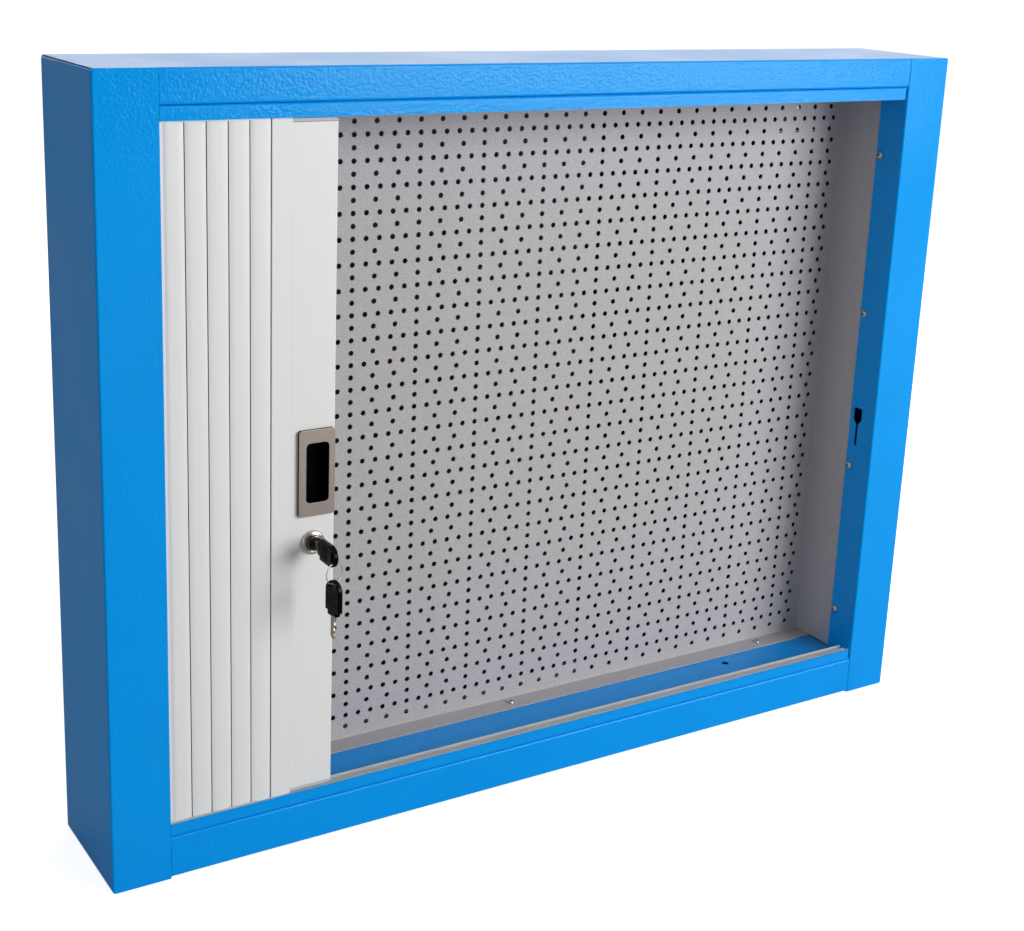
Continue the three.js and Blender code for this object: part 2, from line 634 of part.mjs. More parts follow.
// Tracks: a floor with upright walls, in plan bands along the curtain's path.
function makeTracks() {
  const outer = grooveHalf + TRACK_WALL;
  const rib = -grooveHalf - TRACK_RIB;
  const bendHalf = grooveHalf + PATH_RADIUS - Math.sqrt(PATH_RADIUS ** 2 - (SLAT_PITCH / 2) ** 2);
  const bendRib = -bendHalf - TRACK_RIB;
  const rear = rib - TRACK_REAR_GROOVE;
  const frontEnd = bendX - openingHalf + LIP_END_GAP;
  const [lip, corner, ribTop] = [TRACK_LIP_RISE, CORNER_TRACK_RISE, TRACK_RIB_RISE];
  const runs = [
    {
      name: "front_track",
      span: [frontEnd, -CORNER_TRACK_RUN - GAP],
      floor: rear - TRACK_WALL,
      walls: [
        [[grooveHalf, outer], lip],
        [[rib, -grooveHalf], ribTop],
        [[rear - TRACK_WALL, rear], LIP_RISE],
      ],
    },
    {
      name: "corner_track",
      span: [-CORNER_TRACK_RUN, pathEnd + CORNER_TRACK_RUN],
      floor: bendRib,
      walls: [
        [[grooveHalf, outer], corner],
        [[bendRib, -bendHalf], ribTop],
      ],
    },
    {
      name: "rear_track",
      span: [pathEnd + CORNER_TRACK_RUN + GAP, curtainKnuckles().end + REAR_TRACK_SPARE],
      floor: rib,
      walls: [
        [[grooveHalf, outer], lip],
        [[rib, -grooveHalf], ribTop],
      ],
    },
  ];
  [false, true].forEach((upper) => {
    const underside = levelOf(upper, deckLevel + GAP);
    runs.forEach(({ name, span, floor, walls }) => {
      const base = prism(pathBand([floor, outer], span), "z", underside, levelOf(upper, trackBase));
      const uprights = walls.map(([offsets, rise]) =>
        prism(pathBand(offsets, span), "z", underside, levelOf(upper, deckLevel + rise)),
      );
      addMesh(`${upper ? "upper" : "lower"}_${name}`, ALUMINIUM, geometryOf(union(base, ...uprights)));
    });
  });
}

// A slat's section: u runs from its socket to the next knuckle, v towards the outside.
function slatSection() {
  const startU = -KNUCKLE_SETBACK;
  const endU = SLAT_PITCH - KNUCKLE_SETBACK - GAP;
  const socket = KNUCKLE_RADIUS + GAP;
  const edge = slatHalf - SLAT_CROWN;
  const arc = (centreU, radius, from, to) =>
    Array.from({ length: ARC_STEPS + 1 }, (_, i) => {
      const angle = from + ((to - from) * i) / ARC_STEPS;
      return [centreU + radius * Math.cos(angle), radius * Math.sin(angle)];
    });
  const tongueAngle = Math.acos((endU - SLAT_PITCH) / KNUCKLE_RADIUS);
  const socketAngle = Math.acos(startU / socket);
  return polygon([
    [startU + SLAT_BACK_BEVEL, -slatHalf],
    [endU - SLAT_BACK_BEVEL, -slatHalf],
    [endU - SLAT_BACK_BEVEL / 2, -KNUCKLE_RADIUS],
    ...arc(SLAT_PITCH, KNUCKLE_RADIUS, -tongueAngle, tongueAngle),
    [endU, edge],
    [endU - SLAT_PITCH / 4, slatHalf],
    [startU + SLAT_PITCH / 4, slatHalf],
    [startU, edge],
    ...arc(0, socket, socketAngle, -socketAngle),
  ]);
}

// The travel of the next knuckle along the path, one slat pitch away in a straight line.
function nextKnuckle(travel) {
  const start = pathStation(travel).point;
  let [low, high] = [travel, travel + 2 * SLAT_PITCH];
  while (high - low > KNUCKLE_PLACING) {
    const middle = (low + high) / 2;
    if (pathStation(middle).point.distanceTo(start) < SLAT_PITCH) low = middle;
    else high = middle;
  }
  return low;
}

// The knuckles' travels from the lead profile to the first straight slat behind the tray, how many
// of the slats between them are in front, how many more lie behind the tray, and where those end.
function curtainKnuckles() {
  const travels = [bendX - leadJointX];
  while (travels.at(-1) < pathEnd) travels.push(nextKnuckle(travels.at(-1)));
  const front = travels.filter((travel) => travel <= 0).length - 1;
  const stored = slatsNeeded - (travels.length - 1);
  return { travels, front, stored, end: travels.at(-1) + stored * SLAT_PITCH };
}

function makeSlats() {
  const span = [slatFoot, levelOf(true, slatFoot)];
  const section = prismGeometry(slatSection(), "z", ...span);
  const { travels, front, stored } = curtainKnuckles();
  const points = travels.map((travel) => pathStation(travel).point);
  points.slice(1).forEach((next, i) => {
    const name = i < front ? `slat_${front - i}` : `corner_slat_${i - front + 1}`;
    const mesh = addMesh(name, WHITE, section.clone());
    mesh.position.set(points[i].x, points[i].y, 0);
    mesh.rotation.z = next.clone().sub(points[i]).angle();
  });
  makeStoredSlats(points.at(-1).x, stored, span);
}

// The slats behind the tray, as one length of curtain with a groove on both faces at each knuckle.
function makeStoredSlats(startX, count, span) {
  const web = STORED_WEB / 2;
  const faces = [];
  for (let i = 0; i < count; i++) {
    const left = startX + i * SLAT_PITCH - KNUCKLE_SETBACK + (i ? 0 : GAP);
    const right = startX + (i + 1) * SLAT_PITCH - KNUCKLE_SETBACK - GAP;
    faces.push([left, i ? web : slatHalf], [left, slatHalf], [right, slatHalf]);
    if (i < count - 1) faces.push([right, web]);
  }
  const socket = KNUCKLE_RADIUS + GAP;
  const rear = faces.map(([x, offset]) => [x, curtainRearY + offset]);
  const front = faces.map(([x, offset]) => [x, curtainRearY - offset]).reverse();
  const body = prism(polygon([...rear, ...front]), "z", ...span);
  const tongueRoom = rod("z", socket, span[0] - OVERRUN, span[1] + OVERRUN, [startX, curtainRearY]);
  addMesh("stored_slats", WHITE, geometryOf(cut(body, tongueRoom)));
}

function makeLeadProfile() {
  const frontY = CURTAIN_FRONT_Y;
  const tailX = leadJointX + KNUCKLE_SETBACK + GAP;
  const tailY = [frontY, frontY + SLAT_THICKNESS];
  const tailSpan = [slatFoot, levelOf(true, slatFoot)];
  const tail = block([tailX, handleLeft - GAP], tailY, tailSpan);
  const bead = rod("z", KNUCKLE_RADIUS, ...tailSpan, [leadJointX, curtainY]);
  const span = [handleFoot, levelOf(true, handleFoot)];
  const bridge = block([handleLeft - GAP - HANDLE_WALL, handleLeft + HANDLE_WALL], tailY, span);
  const sides = [handleLeft, handleRight];
  const outline = roundedRectangle(sides, [frontY, handleRearY], HANDLE_EDGE_RADIUS);
  const inside = [
    [handleLeft + HANDLE_WALL, handleRight - HANDLE_WALL],
    [frontY + HANDLE_WALL, handleRearY - HANDLE_WALL],
    [span[0] - OVERRUN, span[1] + OVERRUN],
  ];
  const cupHole = cupOutline(CUP_WALL + GAP);
  const throughY = [frontY - OVERRUN, handleRearY + OVERRUN];
  const lockHole = rod("y", BARREL_RADIUS + GAP, ...throughY, [lockX, lockLevel], ROUND_STEPS);
  const tube = cut(
    prism(outline, "z", ...span),
    block(...inside),
    prism(cupHole, "y", frontY - OVERRUN, frontY + HANDLE_WALL + OVERRUN),
    lockHole,
  );
  addMesh("lead_profile", WHITE, geometryOf(union(tail, bead, bridge, tube)));
}

function makeEndCaps() {
  [false, true].forEach((upper) => {
    const [seat, end] = [handleFoot - GAP, handleFoot - GAP - END_CAP].map((z) => levelOf(upper, z));
    const taperEnd = end + END_CAP_TAPER_RISE * Math.sign(seat - end);
    const outline = new THREE.Shape();
    outline.moveTo(handleLeft, seat);
    outline.lineTo(handleLeft, end);
    outline.lineTo(handleRight - END_CAP_TAPER, end);
    outline.quadraticCurveTo(handleRight, end, handleRight, taperEnd);
    outline.lineTo(handleRight, seat);
    outline.closePath();
    const cap = prismGeometry(outline, "y", CURTAIN_FRONT_Y, handleRearY);
    addMesh(upper ? "upper_end_cap" : "lower_end_cap", CAP_GREY, cap);
  });
}

// The finger cup's opening, and further out its walls.
function cupOutline(margin) {
  const [across, along] = [CUP_WIDTH / 2 + margin, CUP_HEIGHT / 2 + margin];
  return roundedRectangle(
    [cupX - across, cupX + across],
    [pullLevel - along, pullLevel + along],
    CUP_RADIUS,
  );
}

// The cup ends in a rim that stands on the handle tube, and the plate lies on the rim.
function makePull() {
  const rimY = CURTAIN_FRONT_Y - GAP - PULL_RIM;
  const plateY = [rimY - GAP - PULL_PLATE, rimY - GAP];
  const outline = roundedRectangle(
    [pullX - PULL_WIDTH / 2, pullX + PULL_WIDTH / 2],
    [pullLevel - PULL_HEIGHT / 2, pullLevel + PULL_HEIGHT / 2],
    PULL_RADIUS,
  );
  const opening = prism(cupOutline(0), "y", plateY[0] - OVERRUN, CURTAIN_FRONT_Y + cupDepth);
  const walls = prism(cupOutline(CUP_WALL), "y", rimY, CURTAIN_FRONT_Y + cupDepth + CUP_WALL);
  const rim = prism(outline, "y", rimY, rimY + PULL_RIM);
  addMesh("pull_plate", STAINLESS, geometryOf(cut(prism(outline, "y", ...plateY), opening)));
  addMesh("pull_cup", BLACK, geometryOf(cut(union(walls, rim), opening)));
}

// A turned ring about the lock's axis. Its profile is in radius and Y, and closes on itself.
function turned(profile) {
  const points = [...profile, profile[0]].map(([radius, y]) => new THREE.Vector2(radius, y));
  return new THREE.LatheGeometry(points, ROUND_STEPS).translate(lockX, 0, lockLevel);
}

function makeLock() {
  const seatY = CURTAIN_FRONT_Y - GAP;
  const bore = PLUG_RADIUS + GAP;
  const housing = turned([
    [bore, CURTAIN_FRONT_Y - BARREL_RISE],
    [BARREL_RADIUS - COLLAR_EDGE / 2, CURTAIN_FRONT_Y - BARREL_RISE],
    [BARREL_RADIUS, CURTAIN_FRONT_Y - COLLAR_RISE],
    [COLLAR_RADIUS - COLLAR_EDGE, CURTAIN_FRONT_Y - COLLAR_RISE],
    [COLLAR_RADIUS, CURTAIN_FRONT_Y - COLLAR_EDGE],
    [COLLAR_RADIUS, seatY],
    [BARREL_RADIUS, seatY],
    [BARREL_RADIUS, barrelEndY],
    [bore, barrelEndY],
  ]);
  addMesh("lock_housing", NICKEL, housing);

  const nutOutline = roundShape([lockX, lockLevel], NUT_ACROSS_CORNERS / 2, NUT_SIDES);
  const nutBore = roundPoints([lockX, lockLevel], BARREL_RADIUS + GAP, ROUND_STEPS);
  nutOutline.holes.push(new THREE.Path(nutBore));
  addMesh("lock_nut", ZINC, prismGeometry(nutOutline, "y", nutY, nutY + NUT_THICKNESS));

  const keyHalf = BLADE_THICKNESS / 2 + GAP;
  const keyRise = BLADE_WIDTH / 2 + GAP;
  const keywayEnd = keyY + BLADE_LENGTH + KEYWAY_END;
  const keyway = block(
    [lockX - keyHalf, lockX + keyHalf],
    [plugFaceY - OVERRUN, keywayEnd],
    [lockLevel - keyRise, lockLevel + keyRise],
  );
  const screwHoleY = [hookEndY - HOOK_SCREW_LENGTH, plugEndY + OVERRUN];
  const screwHole = rod("y", HOOK_BORE_RADIUS, ...screwHoleY, [lockX, lockLevel]);
  const core = rod("y", PLUG_RADIUS, plugFaceY, plugEndY, [lockX, lockLevel], ROUND_STEPS);
  addMesh("lock_plug", NICKEL, geometryOf(cut(core, keyway, screwHole)));
}

// The hook points up when the lock is open, with its nose towards the strike flange.
function makeHook() {
  const side = HOOK_WIDTH / 2;
  const outline = polygon([
    [lockX - side, lockLevel - side],
    [lockX + side, lockLevel - side],
    [lockX + side, lockLevel + HOOK_THROAT],
    [lockX + HOOK_NOSE, lockLevel + HOOK_THROAT],
    [lockX + HOOK_NOSE, lockLevel + (HOOK_THROAT + HOOK_REACH) / 2],
    [lockX + side, lockLevel + HOOK_REACH],
    [lockX - side, lockLevel + HOOK_REACH],
  ]);
  const bore = roundPoints([lockX, lockLevel], HOOK_BORE_RADIUS, SMALL_ROUND_STEPS);
  outline.holes.push(new THREE.Path(bore));
  addMesh("lock_hook", ZINC, prismGeometry(outline, "y", hookY, hookEndY));
  const screw = addMesh("hook_screw", ZINC, screwGeometry(HOOK_BORE_RADIUS - GAP, HOOK_SCREW_LENGTH));
  screw.position.set(lockX, hookEndY + GAP, lockLevel);
}

// A key in its own frame: the blade runs along +Y from the shoulder, the bow lies on the other side.
function makeKey(prefix) {
  const key = new THREE.Group();
  const half = BOW_WIDTH / 2;
  const shoulder = BOW_SHOULDER_WIDTH / 2;
  const archStart = -BOW_LENGTH + BOW_ARCH;
  const bow = new THREE.Shape();
  bow.moveTo(0, -shoulder);
  bow.lineTo(0, shoulder);
  bow.lineTo(-BOW_SHOULDER, shoulder);
  bow.lineTo(-BOW_SHOULDER, half);
  bow.absellipse(archStart, 0, BOW_ARCH, half, Math.PI / 2, (3 * Math.PI) / 2);
  bow.lineTo(-BOW_SHOULDER, -half);
  bow.lineTo(-BOW_SHOULDER, -shoulder);
  bow.closePath();
  const holeY = -BOW_LENGTH + BOW_HOLE_INSET;
  const holeHalf = BOW_HOLE_WIDTH / 2;
  const hole = roundedRectangle(
    [holeY - holeHalf, holeY + holeHalf],
    [-BOW_HOLE_LENGTH / 2, BOW_HOLE_LENGTH / 2],
    holeHalf - GAP,
  );
  const bowX = [-BOW_THICKNESS / 2, BOW_THICKNESS / 2];
  const pocketX = BLADE_THICKNESS / 2 + GAP;
  const pocketZ = BLADE_WIDTH / 2 + GAP;
  const pocket = block([-pocketX, pocketX], [-BLADE_TANG - GAP, OVERRUN], [-pocketZ, pocketZ]);
  const handle = cut(
    prism(bow, "x", ...bowX),
    prism(hole, "x", bowX[0] - OVERRUN, bowX[1] + OVERRUN),
    pocket,
  );

  const edge = BLADE_WIDTH / 2;
  const cuts = BITTING_SHARES.map((share, i) => [
    (BLADE_LENGTH * (i + 1)) / (BITTING_SHARES.length + 1),
    -edge + share * BLADE_WIDTH,
  ]);
  const blade = polygon([
    [-BLADE_TANG, edge],
    [-BLADE_TANG, -edge],
    [0, -edge],
    ...cuts,
    [BLADE_LENGTH, 0],
    [BLADE_LENGTH - edge, edge],
  ]);
  const bladeX = [-BLADE_THICKNESS / 2, BLADE_THICKNESS / 2];
  key.add(addMesh(`${prefix}_bow`, BLACK, geometryOf(handle)));
  key.add(addMesh(`${prefix}_blade`, NICKEL, prismGeometry(blade, "x", ...bladeX)));
  return key;
}

// One key is in the lock. The spare hangs from it on a ring, both turned about the upright.
function makeKeys() {
  const key = makeKey("key");
  key.position.set(lockX, keyY, lockLevel);
  const ring = new THREE.TorusGeometry(RING_RADIUS, RING_WIRE, RING_WIRE_STEPS, RING_STEPS);
  ring.rotateX(Math.PI / 2).rotateZ(RING_TURN).translate(lockX, ringY, ringLevel);
  addMesh("key_ring", ZINC, ring);
  const spare = makeKey("spare_key");
  spare.rotation.set(-Math.PI / 2, 0, SPARE_KEY_TURN, "ZYX");
  const holeTop = ringLevel - RING_RADIUS + RING_WIRE + ringSag + RING_PLAY;
  const holeLevel = holeTop - BOW_HOLE_WIDTH / 2;
  spare.position.set(lockX, ringY, holeLevel - BOW_LENGTH + BOW_HOLE_INSET);
  cabinet.add(key, spare);
}

// A pan-head screw whose head stands on the origin plane and whose shank runs along -Y.
function screwGeometry(radius, length, headRadius = SCREW_HEAD_RADIUS, head = SCREW_HEAD) {
  const profile = [
    [0, -length],
    [radius, -length],
    [radius, 0],
    [headRadius, 0],
    [headRadius, head / 2],
    [headRadius / 2, head],
    [0, head],
  ];
  const points = profile.map(([r, y]) => new THREE.Vector2(r, y));
  return new THREE.LatheGeometry(points, SMALL_ROUND_STEPS);
}

function makeScrews() {
  sideScrewLevels().forEach((z, i) => {
    const form = screwGeometry(SCREW_RADIUS, SCREW_LENGTH, SIDE_HEAD_RADIUS, SIDE_HEAD);
    const screw = addMesh(`side_screw_${i + 1}`, ZINC, form);
    screw.position.set(openingHalf - GAP, sideScrewY, z);
    screw.rotation.z = Math.PI / 2;
  });
  const seat = deckLevel + GAP + SHEET + GAP;
  deckScrewPlaces().forEach((x, i) => {
    [false, true].forEach((upper) => {
      const name = `${upper ? "ceiling" : "floor"}_screw_${i + 1}`;
      const screw = addMesh(name, ZINC, screwGeometry(SCREW_RADIUS, SCREW_LENGTH));
      screw.position.set(x, deckScrewY, levelOf(upper, seat));
      screw.rotation.x = upper ? -Math.PI / 2 : Math.PI / 2;
    });
  });
}

makeSidePanels();
makeCasePlates();
makeBackPanel();
makeDecks();
makeTray();
makeTracks();
makeSlats();
makeLeadProfile();
makeEndCaps();
makePull();
makeLock();
makeHook();
makeKeys();
makeScrews();

// The origin is at the foot, in the middle of the whole depth with the keys.
cabinet.position.y = -(CASE_DEPTH + frontmostY) / 2;

const part = new THREE.Group();
part.add(cabinet);

export default part;
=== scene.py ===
"""Looks of a wall cabinet with a sideways roll front, built around its CAD frame.

It is laid out as an add-on whose operators model one piece or one group of like pieces each, and run as
a script. Lengths in the functions are millimetres unless they end in _m. X is right, Y back, Z up.
"""

import json
import math

import bmesh
import bpy
from bpy.props import FloatProperty, FloatVectorProperty, IntProperty, PointerProperty
from mathutils import Matrix, Vector


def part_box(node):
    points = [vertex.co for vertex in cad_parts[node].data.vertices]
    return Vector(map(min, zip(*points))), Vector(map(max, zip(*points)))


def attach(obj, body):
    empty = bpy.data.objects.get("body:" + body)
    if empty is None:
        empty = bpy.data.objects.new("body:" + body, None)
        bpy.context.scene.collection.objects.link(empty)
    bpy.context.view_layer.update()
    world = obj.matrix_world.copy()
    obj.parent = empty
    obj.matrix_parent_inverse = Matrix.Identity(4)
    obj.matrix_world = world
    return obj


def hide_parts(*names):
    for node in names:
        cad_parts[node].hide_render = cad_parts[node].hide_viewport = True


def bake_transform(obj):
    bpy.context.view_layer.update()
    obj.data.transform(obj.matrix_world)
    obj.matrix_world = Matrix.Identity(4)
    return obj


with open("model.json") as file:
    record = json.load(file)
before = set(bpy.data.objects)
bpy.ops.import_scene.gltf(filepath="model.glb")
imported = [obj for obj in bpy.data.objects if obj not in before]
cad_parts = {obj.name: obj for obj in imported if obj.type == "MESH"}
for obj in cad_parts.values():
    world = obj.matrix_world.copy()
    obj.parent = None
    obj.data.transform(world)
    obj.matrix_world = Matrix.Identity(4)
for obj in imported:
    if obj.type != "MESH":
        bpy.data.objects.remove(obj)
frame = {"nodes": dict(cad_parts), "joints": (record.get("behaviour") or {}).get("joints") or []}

bl_info = {
    "name": "Roll front tool cabinet",
    "version": (1, 0, 0),
    "blender": (4, 5, 0),
    "location": "View3D > Sidebar > Cabinet",
    "description": "Models the sheet metal, curtain, lock and keys of a roll front tool cabinet",
    "category": "Add Mesh",
}

MM = 0.001
HAIR = 0.02  # keeps two faces from lying in one plane
RAW_EDGE = 0.18  # how far the cut edge of a sheet is broken
SMOOTH_ANGLE = math.radians(35)
ROUND = 48  # sides of a round piece
FINE_ROUND = 24
SHEET_GAP = 0.3  # between two sheets that lie on each other
LOCK_HOLE = 8.9  # radius of the hole for the lock's threaded end
DARKS, LIGHTS = 0.35, 0.65  # most values of a noise lie between them

NODES = frame["nodes"]


# Colours and settings


def linear(code):
    """Linear red, green, blue and alpha of an sRGB hex colour."""
    shares = [int(code[i : i + 2], 16) / 255 for i in (0, 2, 4)]
    return tuple(s / 12.92 if s <= 0.04045 else ((s + 0.055) / 1.055) ** 2.4 for s in shares) + (1.0,)


def length_setting(name, description, default_mm):
    return FloatProperty(
        name=name, description=description, default=default_mm * MM, min=0, unit="LENGTH", precision=5
    )


def colour_setting(name, description, code):
    return FloatVectorProperty(
        name=name, description=description, default=linear(code), size=4, min=0, max=1, subtype="COLOR"
    )


class CaseSettings(bpy.types.PropertyGroup):
    """Sizes and colours of the folded case"""

    sheet: length_setting("Sheet", "Thickness of the steel sheet", 1.2)
    bend: length_setting("Bend", "Radius of a fold, at the middle of the sheet", 1.9)
    corner: length_setting("Corner", "Radius of the case's corners", 4)
    peel: length_setting("Peel", "Size of the bumps in the powder coat", 2.4)
    colour: colour_setting("Coat", "Colour of the case's powder coat", "00A0FC")


class TraySettings(bpy.types.PropertyGroup):
    """Sizes and colours of the perforated tray"""

    hole: length_setting("Hole", "Radius of a punched hole", 2.9)
    dense: length_setting("Close pitch", "Pitch of the holes in every second row", 15)
    sparse: length_setting("Wide pitch", "Pitch of the holes in the rows between", 25)
    row: length_setting("Rows", "Pitch of the rows", 13.05)
    grain: length_setting("Grain", "Size of the grains in the coat, as coarse as shows", 1.4)
    colour: colour_setting("Coat", "Colour of the tray's powder coat", "BEBABC")


class CurtainSettings(bpy.types.PropertyGroup):
    """Sizes and colours of the roll front"""

    pitch: length_setting("Slat", "Width of a slat", 20.5)
    crown: length_setting("Crown", "Rise of a slat's middle over its edges", 0.9)
    joint: length_setting("Joint", "Open joint between two slats", 0.9)
    spare: IntProperty(name="Spare slats", description="Slats that unroll as it closes", default=35)
    colour: colour_setting("Slats", "Colour of the slats and the handle", "F2F2F1")
    # Painted shade: this dark grey stands for the shade in the joints between slats and behind the tray.
    rear_painted_shade_colour: colour_setting("Rear of the slats", "Colour of the side that faces inwards", "3C3E42")
    cap_colour: colour_setting("Caps", "Colour of the handle's caps", "C4C8CC")
    # Also the colour of the black painted shade in the seams and on the back panel's front face.
    cup_colour: colour_setting("Cup", "Colour of the finger cup", "040405")


class HardwareSettings(bpy.types.PropertyGroup):
    """Sizes and colours of the metal and of the keys"""

    edge: length_setting("Edge", "Radius of a turned or stamped edge", 0.35)
    steel: colour_setting("Stainless", "Colour of the pull's plate", "AAA099")
    nickel: colour_setting("Nickel", "Colour of the lock's collar", "C6BFB6")
    blade: colour_setting("Blades", "Colour of the keys' blades", "A79D92")
    # Also painted shade: the collar's groove and the screws' cross recesses take this colour.
    plug: colour_setting("Plug", "Colour of the lock's plug", "33312F")
    zinc: colour_setting("Zinc", "Colour of the screws and the ring", "C9CDD0")
    bow_colour: colour_setting("Bows", "Colour of the keys' bows", "030304")


class StageSettings(bpy.types.PropertyGroup):
    """The floor and the light"""

    floor: colour_setting("Floor", "Colour of the floor", "B4B4B4")
    even: FloatProperty(name="Even light", description="Strength of the light from all round", default=0.24)
    key: FloatProperty(name="Key", description="Power of the lamp in front", default=96, unit="POWER")
    rim: FloatProperty(name="Rim", description="Power of the lamp behind", default=34, unit="POWER")
    side: FloatProperty(name="Side", description="Power of the strip at the left", default=4, unit="POWER")


# Edit-mode helpers


def deselect():
    if bpy.context.object and bpy.context.object.mode != "OBJECT":
        bpy.ops.object.mode_set(mode="OBJECT")
    bpy.ops.object.select_all(action="DESELECT")


def activate(piece):
    deselect()
    bpy.context.view_layer.objects.active = piece
    piece.select_set(True)


def edit(piece):
    """Opens a piece in edit mode with nothing selected."""
    activate(piece)
    bpy.ops.object.mode_set(mode="EDIT")
    bpy.ops.mesh.select_all(action="DESELECT")


def leave():
    bpy.ops.object.mode_set(mode="OBJECT")


def named(name):
    piece = bpy.context.object
    piece.name = piece.data.name = name
    bpy.ops.object.transform_apply(location=True, rotation=True, scale=True)
    return piece


def box(name, low, high):
    """A cube primitive between two corners."""
    deselect()
    middle = [(a + b) / 2 * MM for a, b in zip(low, high)]
    size = [(b - a) * MM for a, b in zip(low, high)]
    bpy.ops.mesh.primitive_cube_add(size=1, location=middle, scale=size)
    return named(name)


TURNS = {"x": (0, math.pi / 2, 0), "y": (math.pi / 2, 0, 0), "z": (0, 0, 0)}


def rod(name, axis, radius, centre, length, sides=ROUND):
    """A cylinder primitive along an axis, by the middle of its length."""
    deselect()
    place = [c * MM for c in centre]
    bpy.ops.mesh.primitive_cylinder_add(
        vertices=sides, radius=radius * MM, depth=length * MM, location=place, rotation=TURNS[axis]
    )
    return named(name)


def drawn_line(name, points, closed=False):
    """A wire through points in millimetres, drawn by pulling one vertex from place to place."""
    deselect()
    start = Vector(points[0]) * MM
    bpy.ops.mesh.primitive_plane_add(size=MM, location=start)
    piece = named(name)
    bpy.ops.object.mode_set(mode="EDIT")
    bpy.ops.mesh.select_mode(type="VERT")
    bpy.ops.mesh.select_all(action="SELECT")
    bpy.ops.mesh.merge(type="CENTER")
    for before, after in zip(points, points[1:]):
        pull(Vector(after) - Vector(before))
    if closed:
        bpy.ops.mesh.select_all(action="SELECT")
        bpy.ops.mesh.edge_face_add()
    return piece


def pull(step):
    """Extrudes what is selected by a step in millimetres."""
    bpy.ops.mesh.extrude_region_move(TRANSFORM_OT_translate={"value": Vector(step) * MM})


def pick(kind, test):
    """Selects what passes a test: of a vertex's place, an edge's two ends, or a face's middle and normal."""
    bpy.ops.mesh.select_mode(type=kind)
    bpy.ops.mesh.select_all(action="DESELECT")
    mesh = bmesh.from_edit_mesh(bpy.context.edit_object.data)
    if kind == "VERT":
        found = [v for v in mesh.verts if test(v.co / MM)]
    elif kind == "EDGE":
        found = [e for e in mesh.edges if test(e.verts[0].co / MM, e.verts[1].co / MM)]
    else:
        found = [f for f in mesh.faces if test(f.calc_center_median() / MM, f.normal)]
    if not found:
        raise RuntimeError(f"nothing to select on {bpy.context.edit_object.name}")
    for element in found:
        element.select = True
    mesh.select_flush_mode()
    bmesh.update_edit_mesh(bpy.context.edit_object.data)


def near(a, b, slack=0.01):
    return abs(a - b) < slack


def along(axis, *others):
    """A test for edges along an axis whose other coordinates pass tests, given as index and function."""

    def test(a, b):
        same = all(near(a[i], b[i]) for i in range(3) if i != axis)
        return same and all(check(a[i]) for i, check in others)

    return test


def round_edges(radius, segments=5):
    bpy.ops.mesh.bevel(
        offset_type="OFFSET", offset=radius * MM, segments=segments, profile=0.5, affect="EDGES"
    )


def apply(piece, kind, **settings):
    """Adds a modifier and applies it."""
    activate(piece)
    modifier = piece.modifiers.new(kind.title(), kind)
    for key, value in settings.items():
        setattr(modifier, key, value)
    bpy.ops.object.modifier_apply(modifier=modifier.name)
    return piece


def thicken(piece, thickness, offset=0):
    return apply(
        piece, "SOLIDIFY", thickness=thickness * MM, offset=offset, use_even_offset=True, use_rim=True
    )


def combine(piece, tool, operation="DIFFERENCE"):
    """Cuts, joins or crosses a piece with a tool, which is then gone."""
    apply(piece, "BOOLEAN", operation=operation, solver="EXACT", object=tool)
    mesh = tool.data
    bpy.data.objects.remove(tool)
    bpy.data.meshes.remove(mesh)
    return piece


def join(name, *pieces):
    activate(pieces[0])
    for piece in pieces[1:]:
        piece.select_set(True)
    bpy.ops.object.join()
    joined = bpy.context.object
    joined.name = joined.data.name = name
    return joined


def weld(piece, distance=0.01):
    """Merges doubles and turns every face outwards."""
    edit(piece)
    bpy.ops.mesh.select_all(action="SELECT")
    bpy.ops.mesh.remove_doubles(threshold=distance * MM)
    bpy.ops.mesh.normals_make_consistent(inside=False)
    leave()
    return piece


def break_edges(piece, width=RAW_EDGE, segments=2, angle=50):
    return apply(
        piece,
        "BEVEL",
        width=width * MM,
        segments=segments,
        limit_method="ANGLE",
        angle_limit=math.radians(angle),
        use_clamp_overlap=True,
        harden_normals=False,
    )


def smooth(piece):
    """Smooths the rounds and keeps the large faces flat."""
    activate(piece)
    bpy.ops.object.shade_smooth_by_angle(angle=SMOOTH_ANGLE)
    return apply(piece, "WEIGHTED_NORMAL", keep_sharp=True, weight=100)


def copy_of(piece, name, matrix):
    """A copy with its own mesh, moved in its mesh. The matrix is in metres."""
    copy = piece.copy()
    copy.data = piece.data.copy()
    copy.name = copy.data.name = name
    bpy.context.scene.collection.objects.link(copy)
    copy.data.transform(matrix)
    return copy


def dress(piece, finish, body, slot, *replaced):
    """Gives a finished piece its material and body, and hides the nodes it stands for; the slot is not used.
    """
    piece.data.materials.clear()
    piece.data.materials.append(finish)
    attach(piece, body)
    if replaced:
        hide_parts(*replaced)
    return piece


def paint(piece, finish, test):
    """Gives a second finish to the faces whose middle and normal pass a test."""
    piece.data.materials.append(finish)
    for face in piece.data.polygons:
        if test(face.center / MM, face.normal):
            face.material_index = 1


def corners(node):
    """A node's lowest and highest corner, in millimetres."""
    return [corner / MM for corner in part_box(node)]


def middle_of(node):
    low, high = corners(node)
    return (low + high) / 2


# Materials


def add(tree, kind, links=None, **settings):
    """Adds a node, sets its properties, and sets its inputs or links them to a node's output in use."""
    made = tree.nodes.new(kind)
    for key, value in settings.items():
        setattr(made, key, value)
    for key, value in (links or {}).items():
        join_socket(tree, value, made.inputs[key])
    return made


def join_socket(tree, value, socket):
    if isinstance(value, bpy.types.Node):
        value = next(output for output in value.outputs if output.enabled)
    if isinstance(value, bpy.types.NodeSocket):
        tree.links.new(value, socket)
    else:
        socket.default_value = value


def feed(tree, shader, **values):
    """Sets or links the shader's inputs, whose names are written with underscores."""
    for key, value in values.items():
        join_socket(tree, value, shader.inputs[key.replace("_", " ")])


